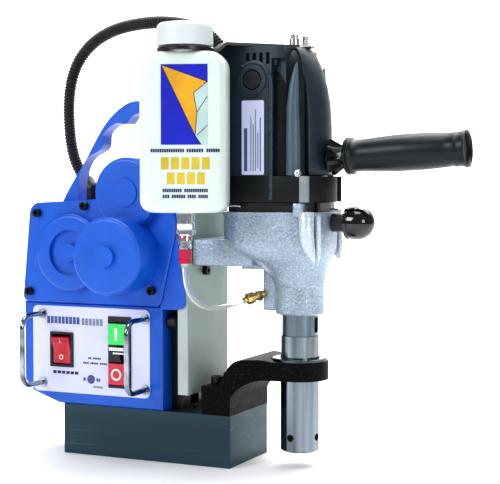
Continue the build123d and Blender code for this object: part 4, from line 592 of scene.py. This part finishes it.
def make_bottle():
    """A milky flat-fronted bottle with round corners, its short neck and its ribbed cap."""
    low, high, steps = 249.6, 400.9, 44

    def drawn_in(z, shoulder, heel):
        """How far the wall has come in at a height, by its shoulder's and its heel's radius."""
        top, foot = max(0.0, z - (high - shoulder)), max(0.0, (low + heel) - z)
        return (shoulder - sqrt(max(0.0, shoulder * shoulder - top * top)),
                heel - sqrt(max(0.0, heel * heel - foot * foot)))

    rings = []
    for i in range(steps + 1):
        z = low + (high - low) * 0.5 * (1 - cos(pi * i / steps))
        at_top, at_foot = drawn_in(z, 17, 12)
        half = BOTTLE_HALF - at_top - at_foot
        at_top, at_foot = drawn_in(z, 6, 6)
        deep = BOTTLE_DEEP - at_top - at_foot
        outline = rounded_rectangle((0, 0), (2 * half, 2 * deep), min(12.0, deep - 0.1), 8)
        rings.append([on_bottle(u, v, z) for u, v in outline])
    bottle = add_piece("bottle_body", skin(rings, "bottle_body"), "head", BOTTLE, smooth=60)
    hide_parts("bottle")
    neck = lathe([(399.0, 19.8), (405.6, 19.8), (406.0, 19.2), (420.4, 19.2), (420.8, 18.6), (420.8, 17.6),
                  (400.0, 17.6)], BOTTLE_AT, (0, 0, 1), "bottle_neck")
    add_piece("bottle_neck", neck, "head", BOTTLE)
    cap = []
    for z, radius, depth in ((406.4, 26.2, 0), (407.0, 26.8, 0.3), (409.5, 26.9, 0.3), (422.0, 26.7, 0.3),
                             (424.6, 26.3, 0.2), (426.6, 25.2, 0), (427.8, 23.4, 0), (428.3, 20.5, 0),
                             (428.3, 8.0, 0)):
        cap.append([BOTTLE_AT + Vector(((radius - depth * (i % 2)) * cos(a),
                                        (radius - depth * (i % 2)) * sin(a), z))
                    for i, a in enumerate(turns(192))])
    lid = add_piece("bottle_lid", skin(cap, "bottle_lid"), "cap", CAP, smooth=50)
    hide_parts("bottle_cap")


def label_patch(name, corners, ink, lift=0.12):
    """A printed patch on the bottle's front: corners are (along, height) in order."""
    rings = [[on_bottle(u, LABEL_FRONT + depth, z) for u, z in corners] for depth in (0.0, lift + 0.1)]
    add_piece(name, skin(rings, name), "head", ink)


def make_label():
    """The label's blue panel, gold and pale shapes, and blocks in place of words."""
    label_patch("label_panel", [(-19, 313.3), (25, 313.3), (25, 387.9), (-19, 387.9)], LABEL_BLUE)
    label_patch("label_gold", [(-18.6, 387.5), (13.4, 321.5), (15, 343.2), (11.9, 361.1), (24.6, 371.6)],
                LABEL_GOLD, 0.2)
    label_patch("label_leaf_high", [(11.9, 361.1), (15, 343.2), (25, 358.5), (25, 371.2)], LABEL_PALE, 0.2)
    label_patch("label_leaf_low", [(15, 343.2), (13.4, 321.5), (18.9, 313.3), (25, 313.3), (25, 357.5)],
                LABEL_PALE, 0.2)
    for number, (ua, za, ub, zb) in enumerate(((-18.6, 387.5, 13.4, 321.5), (13.4, 321.5, 15, 343.2),
                                               (15, 343.2, 11.9, 361.1), (11.9, 361.1, 24.6, 371.6),
                                               (-18.6, 387.5, 24.6, 371.6), (15, 343.2, 25, 358.2),
                                               (15.2, 322.0, 25, 331.5), (13.4, 321.5, 18.9, 313.4))):
        side = Vector((zb - za, ua - ub)).normalized() * 0.32
        corners = [(ua + side.x, za + side.y), (ub + side.x, zb + side.y),
                   (ub - side.x, zb - side.y), (ua - side.x, za - side.y)]
        label_patch(f"label_line_{number}", corners, LABEL_INK, 0.3)
    words = [(LABEL_INK, 307.9, 3.2, [(-29, 3), (5, 21), (23.5, 36.5)], 2.2),
             (LABEL_LETTER, 296.0, 11.2, [(-20.3, 28.1)], 9.0),
             (LABEL_LETTER, 282.0, 10.8, [(-14.6, 23.4)], 9.0),
             (LABEL_INK, 270.8, 3.2, [(-17.7, 0.6), (2.8, 25.3)], 2.0),
             (LABEL_INK, 265.2, 3.2, [(-17.7, -11), (-9, 4), (6, 14), (16, 25.3)], 2.0)]
    for ink, z, tall, spans, pitch in words:
        for start, end in spans:
            count = max(1, round((end - start) / pitch))
            step = (end - start) / count
            for i in range(count):
                left, right = start + step * i + 0.12 * step, start + step * (i + 1) - 0.12 * step
                label_patch(f"label_block_{round(z)}_{round(start)}_{i}".replace("-", "m"),
                            [(left, z - tall / 2), (right, z - tall / 2), (right, z + tall / 2),
                             (left, z + tall / 2)], ink)


def make_hanger():
    """The black strap that holds the bottle by its neck and runs to the screw on the motor."""
    strap = rounded_copy("bottle_hanger", "head", SATIN_BLACK, 0.4)
    screw = lathe([(0, 6.2), (0.8, 6.6), (1.6, 6.2), (1.6, 3.4), (2.6, 4.0), (13.4, 4.0), (14.0, 3.4),
                   (14.0, 1.8), (11.0, 1.6), (11.0, 0.01)], (143.5, 0, 408.4), (0, 0, 1), "strap_screw", 32)
    add_piece("strap_screw", screw, "head", CHROME)
    washer = prism(rounded_rectangle((150.4, 0.0), (29.0, 12.0), 3.0), "xy", 408.6, 410.4, "strap_washer",
                   0.4, 1)
    add_piece("strap_washer", washer, "head", ZINC)
    coils = []
    for turn in range(5):
        low = 410.4 + 1.9 * turn
        coils += [(low, 2.6), (low + 0.45, 3.3), (low + 0.95, 3.5), (low + 1.45, 3.3)]
    spring = lathe([*coils, (420.0, 2.4), (420.2, 0.01)], (155.4, 0, 0), (0, 0, 1), "strap_spring", 28)
    add_piece("strap_spring", spring, "head", ZINC)


def make_valve():
    """The chrome valve under the bottle with its flange, stem, spout, red sleeve and index marks."""
    at = BOTTLE_AT
    barrel = lathe([(233.8, 8.6), (234.4, 8.9), (240.0, 8.9), (240.5, 8.4), (241.5, 8.4), (242.0, 8.9),
                    (248.6, 8.9), (249.2, 8.4)], at, (0, 0, 1), "valve_barrel")
    flange = lathe([(229.1, 9.4), (229.6, 9.9), (232.8, 9.9), (233.3, 9.4)], at, (0, 0, 1), "valve_flange")
    stem = lathe([(215.7, 6.0), (216.2, 6.5), (219.0, 6.5), (219.6, 5.6), (222.0, 5.6), (222.6, 6.5),
                  (228.6, 6.5), (229.1, 6.2)], at, (0, 0, 1), "valve_stem")
    for mesh in (barrel, flange, stem):
        piece = add_piece(mesh.name, mesh, "head", CHROME)
        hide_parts("valve_body")
    sleeve = lathe([(201.2, 5.2), (201.8, 5.9), (204.0, 5.9), (204.4, 5.5), (205.4, 5.5), (205.8, 5.9),
                    (214.2, 5.9), (214.9, 5.3)], at, (0, 0, 1), "tap_sleeve")
    spout = lathe([(200.6, 2.8), (201.0, 3.2), (214.6, 3.2), (214.9, 2.8)], at, (0, 0, 1), "valve_spout", 32)
    add_piece("valve_spout", spout, "head", MARK)
    tap = add_piece("tap_sleeve", sleeve, "coolant_tap", RED_SLEEVE)
    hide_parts("valve_sleeve")
    for number, (angle, z) in enumerate(((-60, 226.5), (-15, 225.0), (-105, 225.6), (-150, 226.4))):
        outwards = Vector((cos(radians(angle)), sin(radians(angle)), 0))
        spot = at + outwards * 6.3 + Vector((0, 0, z))
        mark = lathe([(0, 1.5), (0.3, 1.5), (0.35, 1.2)], spot, outwards, f"valve_mark_{number}", 20)
        add_piece(mark.name, mark, "head", RED)


def make_fitting():
    """The brass fitting: a knurled nut on the tube, a waist and a hexagon against the casting."""
    end = Vector(COOLANT_TUBE[-1])
    aim = (Vector(COOLANT_TUBE[-2]) - end).normalized()
    start = end - aim * 24.0
    parts = {
        "fitting_root": (24, [(-6.8, 3.9), (4.4, 3.9)]),
        "fitting_hexagon": (6, [(4.4, 5.2), (4.9, 5.8), (8.2, 5.8), (8.7, 5.2)]),
        "fitting_waist": (40, [(8.6, 4.1), (10.6, 4.1), (10.9, 3.8), (12.4, 3.8)]),
        "fitting_nut": (14, [(12.2, 4.8), (12.7, 5.9), (15.2, 6.0), (15.6, 5.4), (16.2, 5.4), (16.6, 6.0),
                             (19.4, 5.9), (20.0, 4.8)]),
        "fitting_tail": (40, [(19.8, 3.5), (21.0, 3.5), (21.3, 3.0), (23.2, 3.0), (23.6, 2.8)]),
    }
    for name, (steps, profile) in parts.items():
        piece = add_piece(name, lathe(profile, start, aim, name, steps), "head", BRASS, smooth=28)
        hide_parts("coolant_fitting")


# ---- side handle and gear knob
HANDLE_TILT = radians(3)
HANDLE_AXIS = Vector((cos(HANDLE_TILT), 0, sin(HANDLE_TILT)))
HANDLE_AT = Vector((181.0, 0, 302.5))
MOUNT_RIBS, KNOB_Z = 8, 239.4


def make_handle():
    """The faceted black mount on the motor and the moulded grip with its collar and open end."""
    profile = [(16.9, 10.4), (17.6, 15.6), (18.6, 17.8), (19.8, 18.2), (20.6, 17.7), (21.0, 17.2),
               (21.6, 17.6), (22.6, 18.2), (24.0, 17.9), (25.2, 16.4), (27.0, 15.2), (34.0, 15.4),
               (45.0, 16.1), (58.0, 17.0), (70.0, 17.5), (82.0, 17.6), (94.0, 17.5), (106.0, 17.0),
               (116.0, 16.4), (124.0, 15.8), (125.2, 16.4), (126.4, 16.7), (128.0, 16.2), (131.0, 16.4),
               (134.6, 17.4), (136.2, 17.6), (136.7, 17.2), (136.7, 15.4), (135.6, 14.6), (133.3, 14.2)]
    grip = lathe(profile, HANDLE_AT, HANDLE_AXIS, "side_grip", 96)
    piece = add_piece("side_grip", grip, "head", GRIP, smooth=50)
    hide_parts("handle_grip")
    rings = []
    for along, rib, valley in ((0.4, 17.6, 12.5), (3.0, 17.9, 11.6), (5.0, 17.0, 10.8), (10.0, 13.4, 9.9),
                               (14.0, 11.2, 9.9), (16.0, 10.4, 10.2), (17.2, 10.2, 10.0)):
        ring = []
        for i, turn in enumerate(turns(4 * MOUNT_RIBS)):
            angle = turn + radians(12)
            radius = valley if i % 4 else rib
            outwards = Vector((-sin(HANDLE_TILT) * sin(angle), cos(angle),
                               cos(HANDLE_TILT) * sin(angle)))
            ring.append(HANDLE_AT + HANDLE_AXIS * along + outwards * radius)
        rings.append(ring)
    mount = add_piece("handle_boss", skin(rings, "handle_boss"), "head", GLOSS_PLASTIC, smooth=24)
    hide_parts("handle_mount")


def make_knob():
    """The glossy dome knob of the gear selector with its ring and stem."""
    dome = [(0.0, 15.0), (0.4, 15.9), (2.6, 15.9), (3.0, 15.3), (3.6, 15.3), (4.0, 15.9), (5.0, 16.2),
            (11.2, 16.2)]
    dome += [(11.2 + 16.0 * sin(radians(a)), 16.2 * cos(radians(a))) for a in range(6, 90, 6)]
    dome = lathe(dome, (199.2, 0, KNOB_Z), (1, 0, 0), "selector_dome", 96)
    knob = add_piece("selector_dome", dome, "gear_knob", GLOSS, smooth=60)
    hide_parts("selector_knob")
    stem = lathe([(0, 8.8), (12.4, 8.8), (14.8, 8.2)], (184.5, 0, KNOB_Z), (1, 0, 0), "selector_stem", 48)
    stem = add_piece("selector_stem", stem, "gear_knob", SATIN_BLACK)
    pin = lathe([(0, 1.6), (9.6, 1.6), (10.0, 1.2)], (183.8, -4.0, 251.8), (1, 0, 0), "selector_pin", 20)
    add_piece("selector_pin", pin, "head", CHROME)


# ---- control panel print and marks
BEFORE_PANEL, BEZEL_FRONT = -140.0, -47.2
faces_of = {}


def front_of(node, x, z):
    """Where a CAD node's front is at a place, in millimetres along Y, or the bezel's where it has none."""
    if node not in faces_of:
        base = nodes[node]
        corners = [base.matrix_world @ vertex.co for vertex in base.data.vertices]
        faces_of[node] = BVHTree.FromPolygons(corners, [tuple(face.vertices) for face in base.data.polygons])
    place = faces_of[node].ray_cast(Vector((x, BEFORE_PANEL, z)) * MM, Vector((0, 1, 0)))[0]
    return place.y / MM if place else BEZEL_FRONT


def printed(name, node, body, outline, ink, lift=0.14):
    """A thin printed patch that lies on the front of a CAD node; outline is (x, z) points in order."""
    rings = [[(x, front_of(node, x, z) - out, z) for x, z in outline] for out in (-0.2, lift)]
    piece = add_piece(name, skin(rings, name), body, ink)


def blocks(name, node, spans, z0, z1, pitch, ink):
    """A row of small blocks in place of a line of print."""
    for start, end in spans:
        count = max(1, round((end - start) / pitch))
        step = (end - start) / count
        for i in range(count):
            left, right = start + step * (i + 0.1), start + step * (i + 0.88)
            printed(f"{name}_{round(start + 200)}_{i}", node, "frame",
                    [(left, z0), (right, z0), (right, z1), (left, z1)], ink)


def make_panel_print():
    """Plain blocks in place of words, one small round mark, and the I and O marks of the switches."""
    panel = "panel_plate"
    blocks("panel_title", panel, [(-113.3, -73.5)], 133.4, 140.8, 4.6, INK)
    blocks("panel_title_pale", panel, [(-71.8, -46.0)], 133.0, 140.0, 4.6, LABEL_GREY)
    blocks("panel_switch_line", panel, [(-106.4, -75.0)], 81.8, 84.8, 5.2, LABEL_INK)
    blocks("panel_small_line", panel, [(-64.0, -60.0), (-58.6, -48.7)], 98.7, 100.5, 1.9, LABEL_INK)
    blocks("panel_small_line_low", panel, [(-70.0, -63.0), (-61.4, -52.0), (-50.2, -41.7)], 93.6, 95.4, 1.9,
           LABEL_INK)
    printed("panel_round_mark", panel, "frame", circle((-60.5, 78.0), 4.6, 28), INK)
    blocks("panel_mark_line", panel, [(-70.0, -66.5), (-54.4, -49.5)], 76.0, 79.4, 2.4, INK)
    blocks("panel_mark_low", panel, [(-58.0, -46.5)], 69.2, 71.6, 2.4, LABEL_GREY)
    blocks("contactor_line", "contactor_body", [(-38.4, -14.6)], 108.8, 112.2, 2.4, MARK)
    blocks("contactor_line_low", "contactor_body", [(-34.0, -20.0)], 105.4, 107.2, 1.8, MARK)
    printed("start_mark", "start_button", "start",
            [(-29.4, 119.8), (-26.6, 119.8), (-26.6, 132.4), (-29.4, 132.4)], MARK)
    ring_mark("stop_mark", "stop_button", "stop", (-28.0, 85.3), 5.9, 4.2)
    ring_mark("rocker_mark", "magnet_rocker", "rocker", (-95.6, 99.0), 2.5, 1.7)
    printed("rocker_line", "magnet_rocker", "rocker",
            [(-95.9, 114.0), (-94.9, 114.0), (-94.9, 117.4), (-95.9, 117.4)], MARK)


def ring_mark(name, node, body, centre, outer, inner):
    """A printed ring, made of two half rings."""
    for half, start in enumerate((0, 180)):
        outline = arc(centre, outer, start, start + 180, 16) + arc(centre, inner, start + 180, start, 16)
        printed(f"{name}_{half}", node, body, outline, MARK)


def make_rocker():
    """The red rocker with a ribbed upper edge inside its bezel."""
    rounded_copy("magnet_rocker", "rocker", RED, 1.0)
    for i in range(4):
        z = 118.4 - 1.3 * i
        printed(f"rocker_rib_{i}", "magnet_rocker", "rocker",
                [(-104.2, z), (-85.8, z), (-85.8, z + 0.5), (-104.2, z + 0.5)], RED, 0.45)


# ---- pieces that keep their CAD shape
FOOT_DARK_TOP = 68.5 * MM
PLAIN = {
    RESIN: ["magnet_seal"], COPPER: ["magnet_coil"], LAMINATE: ["stator", "armature"], BOARD: ["control_board"],
    CUT_STEEL: ["rack", "feed_shaft", "feed_gear", "feed_clutch", "motor_gear", "cam_gear",
                "intermediate_shaft"],
    BRONZE: ["gibs", "feed_bushes"], BEARING: ["head_bearings"],
}
SOFTENED = [
    ("magnet_body", "frame", MAGNET, 1.0), ("column", "frame", GREY_GREEN, 0.8),
    ("slide", "head", GREY_GREEN, 0.8), ("arbor_bracket", "frame", CRINKLE, 1.2),
    ("support_bush", "frame", BUSH_STEEL, 0.6), ("foot_bolts", "frame", DARK_STEEL, 0.5),
    ("slide_bolts", "head", DARK_STEEL, 0.5), ("set_screws", "spindle_unit", DARK_STEEL, 0.2),
    ("cover_screws", "frame", DARK_STEEL, 0.5), ("feed_motor", "frame", SATIN_BLACK, 0.8),
    ("feed_housing", "frame", BLUE, 1.6), ("feed_cover", "frame", BLUE, 1.4),
    ("control_box", "frame", BLUE, 1.6), ("box_back_cover", "frame", SATIN_BLACK, 0.5),
    ("rocker_bezel", "frame", BLACK_PLASTIC, 0.8), ("contactor_body", "frame", BLACK_PLASTIC, 0.8),
    ("start_button", "start", GREEN, 0.9),
    ("stop_button", "stop", STOP_RED, 0.9), ("mains_gland", "frame", BLACK_PLASTIC, 0.6),
    ("conduit_gland", "frame", BLACK_PLASTIC, 0.5), ("motor_gland", "head", BLACK_PLASTIC, 0.5),
    ("grommet", "frame", RUBBER, 0.6), ("guard_handles", "frame", GUARD_CHROME, 0.2),
    ("spindle", "spindle_unit", SATIN_STEEL, 0.4), ("arbor", "spindle_unit", POLISHED, 0.4),
    ("hanger_screw", "head", ZINC, 0.4), ("panel_plate", "frame", PANEL, 0.3),
]
for finish, names in PLAIN.items():
    for node in names:
        nodes[node].data.materials.clear()
        nodes[node].data.materials.append(finish)
for node, body, finish, width in SOFTENED:
    rounded_copy(node, body, finish, width)


def paint_faces():
    """The column's foot and front face drawn black, the front face as painted shade in the gap behind the
    control box, and the slide's front faces in a lighter colour as painted light.
    """
    column = bpy.data.objects["column.soft"]
    mesh = bmesh.new()
    mesh.from_mesh(column.data)
    bmesh.ops.bisect_plane(mesh, geom=[*mesh.verts, *mesh.edges, *mesh.faces], plane_co=(0, 0, FOOT_DARK_TOP),
                           plane_no=(0, 0, 1), dist=1e-6)
    for face in mesh.faces:
        # Faces below FOOT_DARK_TOP and faces turned to the front get the black; on the front face, in the gap
        # behind the control box, it is painted shade.
        face.material_index = int(face.calc_center_median().z < FOOT_DARK_TOP or face.normal.y < -0.7)
    mesh.to_mesh(column.data)
    mesh.free()
    column.data.materials.append(SATIN_BLACK)
    # Painted light: the slide's front faces get the paler grey.
    slide = bpy.data.objects["slide.soft"].data
    slide.materials.append(SLIDE_FRONT_LIGHT)
    for face in slide.polygons:
        face.material_index = int(face.normal.y < -0.9)


for make in (make_casting, make_neck, make_motor, make_band, make_brush_caps, make_rating_plate, make_bottle,
             make_label, make_hanger, make_valve, make_fitting, make_handle, make_knob, make_rocker,
             make_panel_print, paint_faces):
    make()


# ---- studio
def make_floor():
    """A sheet of white studio paper that curves up behind the machine."""
    profile = [(-3.0, 0.0), (2.6, 0.0)] + [(2.6 + 1.2 * sin(a), 1.2 - 1.2 * cos(a))
                                          for a in (radians(9 * i) for i in range(1, 11))] + [(3.8, 4.5)]
    bm = bmesh.new()
    turn = Matrix.Rotation(radians(AZIMUTH), 4, "Z")
    rows = [[bm.verts.new(turn @ Vector((x, y, z))) for x in (-6.0, 6.0)] for y, z in profile]
    for low, high in zip(rows, rows[1:]):
        bm.faces.new((low[0], low[1], high[1], high[0]))
    mesh = bpy.data.meshes.new("studio_floor")
    bm.to_mesh(mesh)
    bm.free()
    mesh.shade_smooth()
    mesh.materials.append(FLOOR)
    floor = bpy.data.objects.new("studio_floor", mesh)
    bpy.context.scene.collection.objects.link(floor)
    floor.location.z = -0.0004


def area_light(name, place, size, power, aim=TARGET):
    """A square soft light, aimed at the middle of the machine unless told otherwise."""
    data = bpy.data.lights.new(name, "AREA")
    data.energy, data.size = power, size
    light = bpy.data.objects.new(name, data)
    bpy.context.scene.collection.objects.link(light)
    light.location = place
    light.rotation_euler = (Vector(place) - Vector(aim)).to_track_quat("Z", "Y").to_euler()


def make_lights():
    """A big key at the front left, a fill at the right, a top light, and pale air all round."""
    area_light("key", (-1.0, -1.9, 1.3), 0.9, 23)
    area_light("fill", (2.0, -1.2, 0.7), 0.7, 9)
    area_light("top", (0.2, -0.3, 2.0), 1.0, 13)
    area_light("paper", (0.5, 1.3, 2.4), 2.4, 60)
    area_light("wall", (-0.5, 1.3, 3.0), 2.0, 150, (-1.6, 3.6, 0.9))
    world = bpy.data.worlds.new("air")
    bpy.context.scene.world = world
    world.use_nodes = True
    world.node_tree.nodes["Background"].inputs["Color"].default_value = (0.95, 0.97, 1.0, 1.0)
    world.node_tree.nodes["Background"].inputs["Strength"].default_value = 0.27
    bpy.context.scene.view_settings.view_transform = "Standard"
    bpy.context.scene.view_settings.look = "Medium High Contrast"


make_floor()
make_lights()
